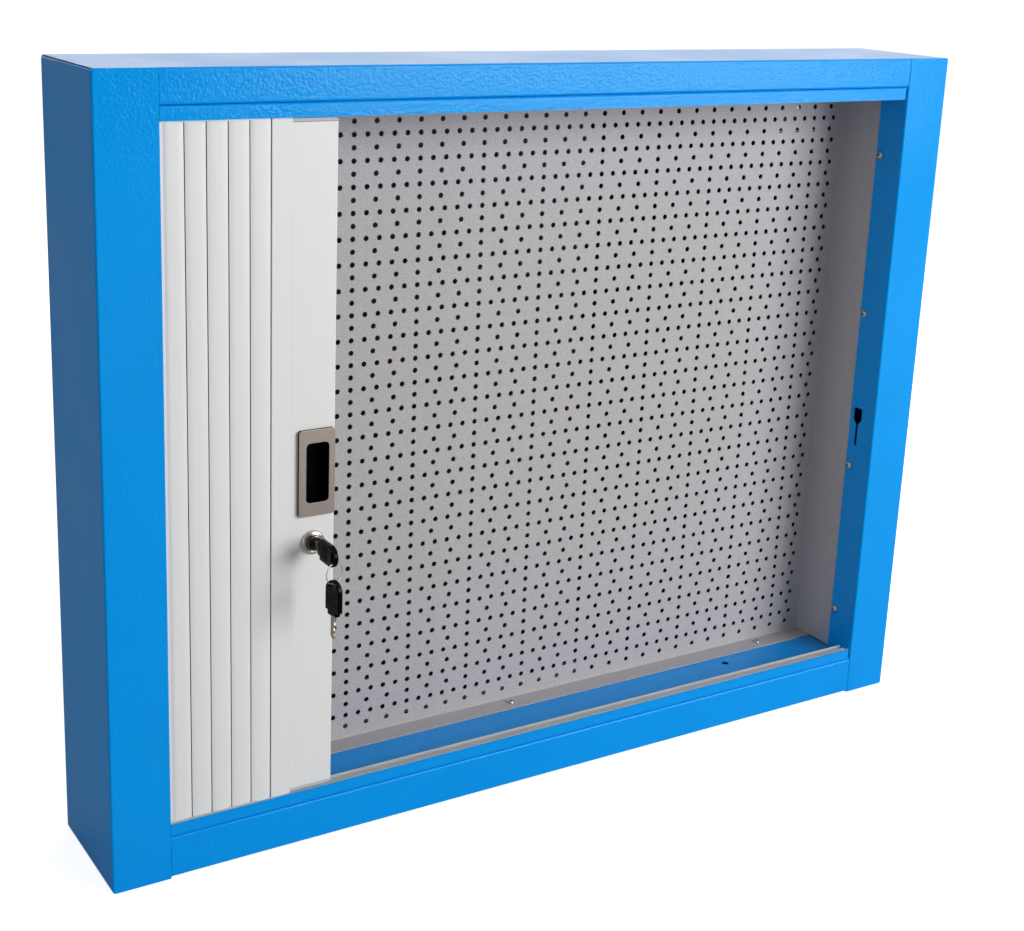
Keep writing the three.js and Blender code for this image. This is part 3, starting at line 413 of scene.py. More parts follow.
def surface(name):
    """A new material: its tree, its shader, and the object coordinates that its patterns read."""
    finish = bpy.data.materials.new(name)
    finish.use_nodes = True
    tree = finish.node_tree
    place = add(tree, "ShaderNodeTexCoord").outputs["Object"]
    return finish, tree, tree.nodes["Principled BSDF"], place


def fineness(size):
    """Scale of a pattern whose features have a size in millimetres."""
    return 1 / (size * MM)


def tinted(colour, factor):
    return tuple(min(c * factor, 1.0) for c in colour[:3]) + (1.0,)


def powder_coated_steel(settings):
    """Powder coat baked on sheet steel: a glossy film that flowed into small bumps, like orange peel."""
    finish, tree, shader, place = surface("powder_coated_steel_blue")
    base, size = settings.colour, settings.peel / MM
    cloud = add(tree, "ShaderNodeTexNoise", {"Vector": place, "Scale": fineness(90), "Detail": 3})
    speck = add(tree, "ShaderNodeTexNoise", {"Vector": place, "Scale": fineness(1.5)})
    tones = {0: cloud, 6: tinted(base, 0.93), 7: tinted(base, 1.06)}
    pooled = add(tree, "ShaderNodeMix", tones, data_type="RGBA")
    pores = {"Value": speck, "From Min": 0.58, "From Max": 0.78, "To Max": 0.3}
    pits = add(tree, "ShaderNodeMapRange", pores)
    pitted = {0: pits, 6: pooled, 7: tinted(base, 0.7)}
    colour = add(tree, "ShaderNodeMix", pitted, data_type="RGBA")
    sheen = {"Value": cloud, "From Min": DARKS, "From Max": LIGHTS, "To Min": 0.34, "To Max": 0.42}
    gloss = add(tree, "ShaderNodeMapRange", sheen)
    coarse = add(tree, "ShaderNodeTexNoise", {"Vector": place, "Scale": fineness(size), "Detail": 0})
    fine = add(tree, "ShaderNodeTexNoise", {"Vector": place, "Scale": fineness(size / 2.6), "Detail": 0})
    waves = add(tree, "ShaderNodeBump", {"Height": coarse, "Distance": 0.2 * MM})
    peel = add(tree, "ShaderNodeBump", {"Height": fine, "Distance": 0.05 * MM, "Normal": waves})
    feed(tree, shader, Base_Color=colour, Roughness=gloss, Normal=peel, Coat_Normal=peel)
    feed(tree, shader, Specular_IOR_Level=0.3, Specular_Tint=(0, 0.55, 1, 1))
    feed(tree, shader, Coat_Weight=0.26, Coat_Roughness=0.06)
    return finish


def textured_powder_coat(settings):
    """Fine-textured powder coat: matt, with a dense grain that catches the light as tiny specks."""
    finish, tree, shader, place = surface("textured_powder_coat_grey")
    base, size = settings.colour, settings.grain / MM
    specks = {"Vector": place, "Scale": fineness(size), "Roughness": 0.6}
    grain = add(tree, "ShaderNodeTexNoise", specks)
    lumps = add(tree, "ShaderNodeTexNoise", {"Vector": place, "Scale": fineness(size * 3), "Detail": 1})
    cloud = add(tree, "ShaderNodeTexNoise", {"Vector": place, "Scale": fineness(140)})
    tones = {0: grain, 6: tinted(base, 0.5), 7: tinted(base, 1.46)}
    specked = add(tree, "ShaderNodeMix", tones, data_type="RGBA")
    patches = {"Value": cloud, "From Min": DARKS, "From Max": LIGHTS, "To Max": 0.25}
    share = add(tree, "ShaderNodeMapRange", patches)
    clouded = {0: share, 6: specked, 7: tinted(base, 0.92)}
    colour = add(tree, "ShaderNodeMix", clouded, data_type="RGBA")
    sheen = {"Value": grain, "From Min": DARKS, "From Max": LIGHTS, "To Min": 0.5, "To Max": 0.64}
    gloss = add(tree, "ShaderNodeMapRange", sheen)
    waves = add(tree, "ShaderNodeBump", {"Height": lumps, "Distance": 0.06 * MM})
    tips = add(tree, "ShaderNodeBump", {"Height": grain, "Distance": 0.12 * MM, "Normal": waves})
    feed(tree, shader, Base_Color=colour, Roughness=gloss, Normal=tips, Specular_IOR_Level=0.4)
    return finish


def extruded_aluminium():
    """Aluminium drawn through a die and anodised: pale and satin, with fine lines along its length."""
    finish, tree, shader, place = surface("extruded_aluminium_natural_anodised")
    long = add(tree, "ShaderNodeMapping", {"Vector": place, "Scale": (0.02, 1, 1)})
    lines = add(tree, "ShaderNodeTexNoise", {"Vector": long, "Scale": fineness(0.7), "Detail": 3})
    stains = add(tree, "ShaderNodeTexNoise", {"Vector": place, "Scale": fineness(35), "Detail": 3})
    tones = {0: lines, 6: linear("BCC1C4"), 7: linear("F0F3F4")}
    colour = add(tree, "ShaderNodeMix", tones, data_type="RGBA")
    sheen = {"Value": stains, "From Min": DARKS, "From Max": LIGHTS, "To Min": 0.36, "To Max": 0.48}
    gloss = add(tree, "ShaderNodeMapRange", sheen)
    marks = add(tree, "ShaderNodeBump", {"Height": lines, "Distance": 0.02 * MM})
    feed(tree, shader, Base_Color=colour, Roughness=gloss, Metallic=0.25, Normal=marks)
    return finish


def extruded_pvc(name, colour):
    """Rigid PVC, extruded: a soft sheen, faint lines along the slat, and dirt thinly held in them."""
    finish, tree, shader, place = surface(name)
    upright = add(tree, "ShaderNodeMapping", {"Vector": place, "Scale": (1, 1, 0.004)})
    lines = add(tree, "ShaderNodeTexNoise", {"Vector": upright, "Scale": fineness(1.6)})
    fine = add(tree, "ShaderNodeTexNoise", {"Vector": place, "Scale": fineness(0.9), "Detail": 1})
    cloud = add(tree, "ShaderNodeTexNoise", {"Vector": place, "Scale": fineness(160)})
    tones = {0: lines, 6: tinted(colour, 0.95), 7: tinted(colour, 1.03)}
    lined = add(tree, "ShaderNodeMix", tones, data_type="RGBA")
    patches = {"Value": cloud, "From Min": DARKS, "From Max": LIGHTS, "To Max": 0.5}
    share = add(tree, "ShaderNodeMapRange", patches)
    dusty = add(tree, "ShaderNodeMix", {0: share, 6: lined, 7: tinted(colour, 0.975)}, data_type="RGBA")
    sheen = {"Value": fine, "From Min": DARKS, "From Max": LIGHTS, "To Min": 0.38, "To Max": 0.46}
    gloss = add(tree, "ShaderNodeMapRange", sheen)
    waves = add(tree, "ShaderNodeBump", {"Height": lines, "Distance": 0.03 * MM})
    skin = add(tree, "ShaderNodeBump", {"Height": fine, "Distance": 0.006 * MM, "Normal": waves})
    feed(tree, shader, Base_Color=dusty, Roughness=gloss, Normal=skin)
    return finish


def moulded_plastic(name, colour, roughness, grain_mm, shine=0.3):
    """Moulded plastic: a faint grain from the mould, and a sheen that handling made uneven."""
    finish, tree, shader, place = surface(name)
    grain = add(tree, "ShaderNodeTexNoise", {"Vector": place, "Scale": fineness(grain_mm)})
    wear = add(tree, "ShaderNodeTexNoise", {"Vector": place, "Scale": fineness(7)})
    tones = {0: wear, 6: tinted(colour, 0.9), 7: tinted(colour, 1.1)}
    mixed = add(tree, "ShaderNodeMix", tones, data_type="RGBA")
    dull = roughness + 0.12
    sheen = {"Value": wear, "From Min": DARKS, "From Max": LIGHTS, "To Min": roughness, "To Max": dull}
    gloss = add(tree, "ShaderNodeMapRange", sheen)
    skin = add(tree, "ShaderNodeBump", {"Height": grain, "Distance": 0.015 * MM})
    feed(tree, shader, Base_Color=mixed, Roughness=gloss, Normal=skin, Specular_IOR_Level=shine)
    return finish


def brushed_stainless(settings):
    """Stainless sheet, brushed across with a belt: warm grey, with fine scratches and a streaked shine."""
    finish, tree, shader, place = surface("brushed_stainless_steel")
    base = settings.steel
    across = add(tree, "ShaderNodeMapping", {"Vector": place, "Scale": (0.03, 1, 1)})
    grit = {"Vector": across, "Scale": fineness(0.32), "Detail": 3, "Roughness": 0.6}
    scratches = add(tree, "ShaderNodeTexNoise", grit)
    tones = {0: scratches, 6: tinted(base, 0.6), 7: tinted(base, 1.4)}
    colour = add(tree, "ShaderNodeMix", tones, data_type="RGBA")
    sheen = {"Value": scratches, "From Min": DARKS, "From Max": LIGHTS, "To Min": 0.3, "To Max": 0.44}
    gloss = add(tree, "ShaderNodeMapRange", sheen)
    furrows = add(tree, "ShaderNodeBump", {"Height": scratches, "Distance": 0.012 * MM})
    feed(tree, shader, Base_Color=colour, Roughness=gloss, Metallic=1.0, Normal=furrows)
    return finish


def plated(name, colour, roughness, spots_mm):
    """Electroplated metal: a thin bright skin, a little clouded, that shows the tool marks under it."""
    finish, tree, shader, place = surface(name)
    cloud = add(tree, "ShaderNodeTexNoise", {"Vector": place, "Scale": fineness(spots_mm), "Detail": 3})
    marks = add(tree, "ShaderNodeTexNoise", {"Vector": place, "Scale": fineness(0.5)})
    tones = {0: cloud, 6: tinted(colour, 0.75), 7: tinted(colour, 1.2)}
    mixed = add(tree, "ShaderNodeMix", tones, data_type="RGBA")
    dull = roughness + 0.14
    sheen = {"Value": cloud, "From Min": DARKS, "From Max": LIGHTS, "To Min": roughness, "To Max": dull}
    gloss = add(tree, "ShaderNodeMapRange", sheen)
    skin = add(tree, "ShaderNodeBump", {"Height": marks, "Distance": 0.008 * MM})
    feed(tree, shader, Base_Color=mixed, Roughness=gloss, Metallic=1.0, Normal=skin)
    return finish


def finishes():
    """All finishes by a short name, made once."""
    if not FINISHES:
        scene = bpy.context.scene
        metal, curtain = scene.cabinet_hardware, scene.cabinet_curtain
        FINISHES.update(
            coat=powder_coated_steel(scene.cabinet_case),
            tray=textured_powder_coat(scene.cabinet_tray),
            track=extruded_aluminium(),
            slat=extruded_pvc("extruded_pvc_white", curtain.colour),
            # Painted shade: the slats' rear layer, the joints' walls and the stored slats are dark grey.
            slat_back=extruded_pvc("extruded_pvc_painted_shade_rear", curtain.rear_painted_shade_colour),
            cap=moulded_plastic("moulded_abs_light_grey", curtain.cap_colour, 0.4, 0.8),
            cup=moulded_plastic("moulded_abs_black", curtain.cup_colour, 0.5, 0.8, 0.04),
            # Painted shade: a near-black finish for the seams beside the top and bottom plates and for the
            # back panel's front face.
            seal=moulded_plastic("black_seam_sealer", curtain.cup_colour, 0.7, 1.2, 0.1),
            bow=moulded_plastic("moulded_nylon_black_polished", metal.bow_colour, 0.1, 1.6, 0.08),
            stainless=brushed_stainless(metal),
            nickel=plated("nickel_plated_zinc_casting", metal.nickel, 0.14, 8),
            blade=plated("nickel_plated_brass_worn", metal.blade, 0.42, 4),
            # Also painted shade: the collar's groove and the screws' cross recesses take this dark finish.
            plug=plated("tarnished_brass_plug_and_painted_shade", metal.plug, 0.3, 2),
            zinc=plated("zinc_plated_steel_bright", metal.zinc, 0.22, 2),
        )
    return FINISHES


FINISHES = {}


# The folded case


def folded_sheet(name, line, axis, span, settings):
    """A sheet whose section follows a line of corners, along X or along Z, in millimetres."""
    if axis == 0:
        points = [(span[0], y, z) for y, z in line]
        step = (span[1] - span[0], 0, 0)
    else:
        points = [(x, y, span[0]) for x, y in line]
        step = (0, 0, span[1] - span[0])
    piece = drawn_line(name, points)
    inner = [Vector(p) for p in points[1:-1]]
    pick("VERT", lambda v: any((v - p).length < 0.01 for p in inner))
    bpy.ops.mesh.bevel(
        offset_type="OFFSET", offset=settings.bend, segments=6, profile=0.5, affect="VERTICES"
    )
    bpy.ops.mesh.select_all(action="SELECT")
    pull(step)
    leave()
    return thicken(weld(piece), settings.sheet / MM)


def case_form(settings):
    """The case's outer form: a block whose four edges along Y and whose long rear edges are round."""
    left, right = corners("left_side_panel")[0], corners("right_side_panel")[1]
    form = box("case_form", [c - HAIR for c in left], [c + HAIR for c in right])
    edit(form)
    pick("EDGE", along(1))
    round_edges(settings.corner / MM, 6)
    rear = right.y
    pick("EDGE", lambda a, b: near(a.z, b.z) and min(a.y, b.y) > rear - 1 and abs(a.x - b.x) > 100)
    round_edges(settings.corner / MM, 6)
    leave()
    return form


def finished_sheet(piece):
    break_edges(piece)
    return smooth(piece)


class CABINET_OT_side_panels(bpy.types.Operator):
    """Folds the two side panels, with the stiles that frame the front"""

    bl_idname = "cabinet.side_panels"
    bl_label = "Side panels"
    FLANGE = 22
    REAR_FLANGE = 20
    STRIKE_FLANGE = 40

    def execute(self, context):
        settings = context.scene.cabinet_case
        sheet = settings.sheet / MM
        half = sheet / 2
        for side, name in ((-1, "left_side_panel"), (1, "right_side_panel")):
            low, high = corners(name)
            front, rear = low.y + half, high.y - half
            outer, inner = (high.x, low.x) if side > 0 else (low.x, high.x)
            rear_end = outer - side * self.REAR_FLANGE
            line = [(outer - side * half, front), (outer - side * half, rear), (rear_end, rear)]
            if side > 0:
                line = [(inner + half, low.y + self.STRIKE_FLANGE), (inner + half, front)] + line
            else:
                line = [(inner, front)] + line
            panel = folded_sheet(name + "_folded", line, 2, (low.z, high.z), settings)
            if side > 0:
                self.open_slot(panel, inner)
            combine(panel, case_form(settings), "INTERSECT")
            flanges = []
            for foot in (low.z, high.z - 2 * sheet - SHEET_GAP):
                reach = sorted((outer - side * 1.5, outer - side * (self.FLANGE + half)))
                flange = box("flange", (reach[0], low.y + 3, foot), (reach[1], high.y - 3, foot + sheet))
                flanges.append(flange)
            panel = join(name + "_folded", panel, *flanges)
            dress(finished_sheet(panel), finishes()["coat"], "cabinet", "case_blue", name)
        return {"FINISHED"}

    def open_slot(self, panel, inner):
        """Cuts the strike slot: narrow below, where the hook rests, and wide above."""
        hook = middle_of("lock_hook")
        middle = hook.y
        axis = middle_of("lock_plug").z
        narrow, wide = 1.85, 6.5
        outline = [(-narrow, -7.5), (narrow, -7.5), (narrow, 18.5), (wide, 23.5), (wide, 38.5)]
        outline += [(-wide, 38.5), (-wide, 23.5), (-narrow, 18.5)]
        points = [(inner - 3, middle + y, axis + z) for y, z in outline]
        slot = drawn_line("slot", points, closed=True)
        pull((8, 0, 0))
        leave()
        combine(panel, weld(slot))
        for i in range(1, 5):
            place = middle_of(f"side_screw_{i}")
            hole = rod("hole", "x", 2.4, (inner + 0.6, place.y, place.z), 8, FINE_ROUND)
            combine(panel, hole)


class CABINET_OT_case_plates(bpy.types.Operator):
    """Folds the top and bottom panels, each with its rail in front"""

    bl_idname = "cabinet.case_plates"
    bl_label = "Top and bottom panels"
    RETURN = 15
    REAR_FLANGE = 20
    RAIL_X = 440.7
    SEAM = 0.4  # left open at each end, beside the side panels
    SHADE_STRIP_DEPTH = 0.5  # from the plate's face down to the black strips of painted shade
    KEYHOLE_LEVEL = 26  # of its wide end, over the plate's foot
    KEYHOLE_WIDE = 5.5
    KEYHOLE_NARROW = 2.8
    KEYHOLE_RISE = 11

    def execute(self, context):
        settings = context.scene.cabinet_case
        sheet = settings.sheet / MM
        half = sheet / 2
        for name, inward in (("top_panel", -1), ("bottom_panel", 1)):
            low, high = corners(name)
            plate, rail = (high.z, low.z) if inward < 0 else (low.z, high.z)
            front, rear = low.y + half, high.y - half
            line = [
                (low.y + self.RETURN, rail - inward * half),
                (front, rail - inward * half),
                (front, plate + inward * half),
                (rear, plate + inward * half),
                (rear, plate + inward * self.REAR_FLANGE),
            ]
            panel = folded_sheet(name + "_folded", line, 0, (-self.RAIL_X, self.RAIL_X), settings)
            levels = sorted((plate, plate + inward * sheet))
            near_end, far_end = low.x + self.SEAM, high.x - self.SEAM
            wide = box("plate", (near_end, low.y + 1.5, levels[0]), (far_end, high.y - 1.5, levels[1]))
            combine(combine(panel, wide, "UNION"), case_form(settings), "INTERSECT")
            dress(finished_sheet(panel), finishes()["coat"], "cabinet", "case_blue", name)
            depths = sorted((plate + inward * self.SHADE_STRIP_DEPTH, plate + inward * sheet))
            self.seal(name, (near_end, far_end), low, high, depths)
        low, high = corners("back_panel")
        back = box("back_sheet", low, high)
        for side in ("left", "right"):
            plate_low, plate_high = corners(side + "_wall_plate")
            notch = box("notch", plate_low - Vector((0.3, 5, 0.3)), plate_high + Vector((0.3, 5, 40)))
            combine(back, notch)
            hanger = self.wall_plate(side, plate_low, plate_high)
            dress(hanger, finishes()["zinc"], "cabinet", "zinc", side + "_wall_plate")
        dress(finished_sheet(back), finishes()["coat"], "cabinet", "case_blue", "back_panel")
        # Painted shade: the back panel's front face is painted near black, so that what shows through the
        # tray's holes reads as dark shade.
        paint(back, finishes()["seal"], lambda middle, normal: normal.y < -0.9)
        return {"FINISHED"}

    def seal(self, name, ends, low, high, levels):
        """Painted shade: black strips at the bottom of the seams between the plate and the side panels,
        which stand for the shade in them.
        """
        lines = []
        for side, x in zip((-1, 1), ends):
            reach = sorted((x + side * HAIR, x + side * 1.05))
            lines.append(box("line", (reach[0], low.y + 3, levels[0]), (reach[1], high.y - 5, levels[1])))
        sealer = smooth(join(name + "_seams", *lines))
        dress(sealer, finishes()["seal"], "cabinet", "black_plastic")

    def wall_plate(self, side, low, high):
        """A thick plate with a keyhole slot."""
        plate = box(side + "_hanger", low, high)
        edit(plate)
        pick("EDGE", along(1))
        round_edges(3, 4)
        leave()
        x, y = (low.x + high.x) / 2, (low.y + high.y) / 2
        head = low.z + self.KEYHOLE_LEVEL
        neck, half = head + self.KEYHOLE_RISE, self.KEYHOLE_NARROW
        combine(plate, rod("head", "y", self.KEYHOLE_WIDE, (x, y, head), 10, FINE_ROUND))
        combine(plate, rod("neck", "y", half, (x, y, neck), 10, FINE_ROUND))
        combine(plate, box("throat", (x - half, low.y - 2, head), (x + half, high.y + 2, neck)))
        return finished_sheet(plate)


class CABINET_OT_decks(bpy.types.Operator):
    """Folds the two decks, which carry the tracks and end in a lip behind the rails"""

    bl_idname = "cabinet.decks"
    bl_label = "Decks"
    PLATE_LEVEL = 46
    LIP_LEFT = -440.7
    LIP_RIGHT = 437.6
    HOLE_X = 292
    HOLE_RADIUS = 4.2

    def execute(self, context):
        settings = context.scene.cabinet_case
        sheet = settings.sheet / MM
        half = sheet / 2
        foot, top = corners("lower_deck")[0].z, corners("upper_deck")[1].z
        turn = corners("lower_deck")[1].z + corners("upper_deck")[0].z
        for name, upper in (("lower_deck", False), ("upper_deck", True)):
            low, high = corners(name)
            level = lambda z: turn - z if upper else z
            front, rear = low.y + half, high.y - half
            deck_z = level(self.PLATE_LEVEL - half)
            lip_z, leg_z = (low.z, top) if upper else (high.z, foot)
            line = [(front, lip_z), (front, deck_z), (rear, deck_z), (rear, leg_z)]
            deck = folded_sheet(name + "_folded", line, 0, (self.LIP_LEFT, self.LIP_RIGHT), settings)
            wide = box(
                "plate",
                (low.x, low.y + 1.5, deck_z - half),
                (high.x, high.y - settings.bend / MM, deck_z + half),
            )
            combine(deck, wide, "UNION")
            for x in (-self.HOLE_X, self.HOLE_X):
                hole = rod("hole", "z", self.HOLE_RADIUS, (x, low.y + 60, deck_z), 8, FINE_ROUND)
                combine(deck, hole)
            dress(finished_sheet(deck), finishes()["coat"], "cabinet", "case_blue", name)
        return {"FINISHED"}


# The tray


class CABINET_OT_tool_tray(bpy.types.Operator):
    """Punches and folds the tray, whose rows of holes have two pitches by turns"""

    bl_idname = "cabinet.tool_tray"
    bl_label = "Tool tray"
    STEP = 5  # both pitches are whole numbers of it, so that the rows share their vertices
    GRID_RIGHT = 432.9
    FIRST_ROW = 61.1
    ROWS = 26  # of each kind
    SPARSE_HOLES = 35
    DENSE_HOLES = 58
    FOLD_X = 441
    LOW_FOLD = 48.8
    FLANGE = 25
    NOTCH = (302, 368)  # where the hook swings in
    NOTCH_DEPTH = 11

    def execute(self, context):
        settings = context.scene.cabinet_tray
        low, high = corners("tool_tray")
        sheet = context.scene.cabinet_case.sheet / MM
        face_y = high.y - sheet / 2
        row = settings.row / MM
        start = self.FIRST_ROW - row / 2
        sparse = self.row_of_holes(settings, settings.sparse / MM, self.SPARSE_HOLES, start, face_y)
        dense = self.row_of_holes(settings, settings.dense / MM, self.DENSE_HOLES, start + row, face_y)
        tray = weld(join("perforated_tray", sparse, self.fill_row(dense)))
        apply(
            tray,
            "ARRAY",
            count=self.ROWS,
            use_relative_offset=False,
            use_constant_offset=True,
            constant_offset_displace=(0, 0, 2 * row * MM),
            use_merge_vertices=True,
            merge_threshold=0.01 * MM,
        )
        self.fold(tray, face_y, low, high, sheet)
        thicken(tray, sheet)
        smooth(tray)
        dress(tray, finishes()["tray"], "cabinet", "tray_grey", "tool_tray")
        return {"FINISHED"}

    def row_of_holes(self, settings, pitch, count, foot, y):
        """One cell: a rectangle whose long edges are divided, bridged to a punched circle. Then a row."""
        height = settings.row / MM
        right = self.GRID_RIGHT
        line = [(right, y, foot), (right - pitch, y, foot)]
        line += [(right - pitch, y, foot + height), (right, y, foot + height)]
        cell = drawn_line("cell", line)
        bpy.ops.mesh.select_all(action="SELECT")
        bpy.ops.mesh.edge_face_add()
        pick("FACE", lambda middle, normal: True)
        bpy.ops.mesh.delete(type="ONLY_FACE")
        pick("EDGE", lambda a, b: near(a.z, b.z))
        bpy.ops.mesh.subdivide(number_cuts=round(pitch / self.STEP) - 1)
        leave()
        deselect()
        bpy.ops.mesh.primitive_circle_add(
            vertices=12,
            radius=settings.hole,
            location=[c * MM for c in (right - pitch / 2, y, foot + height / 2)],
            rotation=(math.pi / 2, math.pi / 12, 0),
        )
        circle = named("circle")
        cell = join("cell", cell, circle)
        edit(cell)
        bpy.ops.mesh.select_mode(type="EDGE")
        bpy.ops.mesh.select_all(action="SELECT")
        bpy.ops.mesh.bridge_edge_loops()
        leave()
        apply(
            cell,
            "ARRAY",
            count=count,
            use_relative_offset=False,
            use_constant_offset=True,
            constant_offset_displace=(-pitch * MM, 0, 0),
            use_merge_vertices=True,
            merge_threshold=0.01 * MM,
        )
        return cell

    def fill_row(self, dense):
        """Lengthens the row of close holes by one step, to the length of the other row."""
        edit(dense)
        left = min(v.co.x for v in bmesh.from_edit_mesh(dense.data).verts) / MM
        pick("EDGE", lambda a, b: near(a.x, left) and near(b.x, left))
        pull((-self.STEP, 0, 0))
        leave()
        return dense

    def fold(self, tray, face_y, low, high, sheet):
        """Pulls the margins out to the folds and then the flanges forward."""
        edit(tray)
        mesh = bmesh.from_edit_mesh(tray.data)
        xs = [v.co.x / MM for v in mesh.verts]
        zs = [v.co.z / MM for v in mesh.verts]
        left, right, foot, top = min(xs), max(xs), min(zs), max(zs)
        high_fold = low.z + high.z - self.LOW_FOLD
        steps = [
            (0, right, self.FOLD_X - right),
            (2, foot, self.LOW_FOLD - foot),
            (2, top, high_fold - top),
        ]
        for axis, place, reach in steps:
            pick("EDGE", lambda a, b: near(a[axis], place) and near(b[axis], place))
            step = [0, 0, 0]
            step[axis] = reach
            pull(step)
        flaps = [
            (0, self.FOLD_X, high.x - sheet / 2, low.y),
            (0, left, low.x + sheet / 2, face_y - self.FLANGE),
            (2, self.LOW_FOLD, low.z + sheet / 2, face_y - self.FLANGE),
            (2, high_fold, high.z - sheet / 2, face_y - self.FLANGE),
        ]
        for axis, place, fold, front in flaps:
            pick("EDGE", lambda a, b: near(a[axis], place) and near(b[axis], place))
            step = [0, 0, 0]
            step[axis] = fold - place
            pull(step)
            pull((0, front - face_y + (self.NOTCH_DEPTH if fold > 0 and axis == 0 else 0), 0))
            if fold > 0 and axis == 0:
                lip = front + self.NOTCH_DEPTH
                outside = lambda z: z < self.NOTCH[0] or z > self.NOTCH[1]
                pick(
                    "EDGE",
                    lambda a, b: near(a.y, lip) and near(b.y, lip) and outside((a.z + b.z) / 2),
                )
                pull((0, -self.NOTCH_DEPTH, 0))
            on_fold = lambda a, b: near(a[axis], fold) and near(b[axis], fold)
            pick("EDGE", lambda a, b: on_fold(a, b) and near(a.y + b.y, 2 * face_y))
            round_edges(1.9, 4)
        bpy.ops.mesh.select_all(action="SELECT")
        bpy.ops.mesh.normals_make_consistent(inside=False)
        leave()


# The tracks


class CABINET_OT_tracks(bpy.types.Operator):
    """Finishes the aluminium tracks, whose shapes are right as they are"""

    bl_idname = "cabinet.tracks"
    bl_label = "Tracks"

    def execute(self, context):
        for level in ("lower", "upper"):
            for run in ("front", "corner", "rear"):
                track = NODES[f"{level}_{run}_track"]
                track.data.materials.clear()
                track.data.materials.append(finishes()["track"])
        return {"FINISHED"}


# The curtain


def slat_outline(pitch, thickness, crown, joint):
    """A slat's section from above: a crowned front, a tongue at the right, a hollow for one at the left."""
    left, right = joint / 2, pitch - joint / 2
    front, rear = -thickness / 2, thickness / 2
    crest = 9
    outline = []
    for i in range(crest + 1):
        share = i / crest
        rise = crown * (1 - (2 * share - 1) ** 4)
        outline.append((left + (right - left) * share, front + crown - rise))
    outline += [(right, 0), (pitch + 0.9, 0), (pitch + 0.9, 1), (right, 1)]
    outline += [(right, rear - 0.9), (right - 0.7, rear), (left + 0.7, rear), (left, rear - 0.9)]
    outline += [(left, 1.3), (left + 1.6, 1.3), (left + 1.6, -0.3), (left, -0.3)]
    return outline


def model_slat(name, low, high, settings):
    """One slat between two corners of its box: its section is drawn and pulled up."""
    thickness = high.y - low.y
    middle = (low.y + high.y) / 2
    outline = slat_outline(settings.pitch / MM, thickness, settings.crown / MM, settings.joint / MM)
    slat = drawn_line(name, [(low.x + u, middle + v, low.z) for u, v in outline], closed=True)
    pull((0, 0, high.z - low.z))
    leave()
    return weld(slat)


def painted_shade_rear_test(middle_y):
    """A test for the faces of a slat's rear layer, its tongue and hollow among them, which are painted dark
    grey as painted shade in the joints.
    """

    def test(middle, normal):
        return middle.y > middle_y - 1 and normal.y > -0.9 or near(middle.y, middle_y, 0.05)

    return test


class CABINET_OT_slats(bpy.types.Operator):
    """Extrudes the five slats that show when the front is open, and colours the hidden ones, the stored
    slats dark grey as painted shade.
    """

    bl_idname = "cabinet.slats"
    bl_label = "Slats"

    def execute(self, context):
        settings = context.scene.cabinet_curtain
        low, high = corners("slat_1")
        first = smooth(break_edges(model_slat("roll_slat_1", low, high, settings), 0.12, 1))
        slats = [first]
        for i in range(2, 6):
            step = corners(f"slat_{i}")[0].x - low.x
            slats.append(copy_of(first, f"roll_slat_{i}", Matrix.Translation((step * MM, 0, 0))))
        for i, slat in enumerate(slats, 1):
            dress(slat, finishes()["slat"], "shutter", "slat_white", f"slat_{i}")
            # Painted shade: the rear layer and the joints' walls are painted dark grey.
            paint(slat, finishes()["slat_back"], painted_shade_rear_test((low.y + high.y) / 2))
        # Painted shade: the stored slats behind the tray are painted dark grey all over.
        for name, node in NODES.items():
            if name.startswith("corner_slat_") or name == "stored_slats":
                node.data.materials.clear()
                node.data.materials.append(finishes()["slat" if name != "stored_slats" else "slat_back"])
        return {"FINISHED"}


class CABINET_OT_curtain(bpy.types.Operator):
    """Makes the slats that come from behind the stile as the front closes"""

    bl_idname = "cabinet.curtain"
    bl_label = "Unrolling slats"
    START = -446.0
    END = -442.0

    def execute(self, context):
        settings = context.scene.cabinet_curtain
        travel = next(j for j in frame["joints"] if j["name"] == "shutter_slide")["range_m"][1] / MM
        low, high = corners("slat_1")
        pitch = settings.pitch / MM
        first = smooth(model_slat("unrolled", low, high, settings))
        shifts = [travel - pitch * i for i in range(1, settings.spare + 1)]
        slats = [
            copy_of(first, f"part_{i}", Matrix.Translation((step * MM, 0, 0)))
            for i, step in enumerate(shifts)
        ]
        bpy.data.objects.remove(first)
        curtain = join("unrolling_slats", *slats)
        curtain.data.materials.append(finishes()["slat"])
        # Painted shade: the rear layer and the joints' walls are painted dark grey.
        paint(curtain, finishes()["slat_back"], painted_shade_rear_test((low.y + high.y) / 2))
        self.store(curtain, travel)
        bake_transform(curtain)
        return {"FINISHED"}

    def store(self, curtain, travel):
        """Moves each vertex to where it waits at rest, so that the blend brings it to its place here."""
        depth = self.END - self.START
        for vertex in curtain.data.vertices:
            target = vertex.co.x / MM
            low, high = -1.0, 2.0
            for _ in range(60):
                t = (low + high) / 2
                eased = min(max(t, 0), 1)
                eased = eased * eased * (3 - 2 * eased)
                if self.START + t * depth + eased * travel < target:
                    low = t
                else:
                    high = t
            vertex.co.x = (self.START + low * depth) * MM


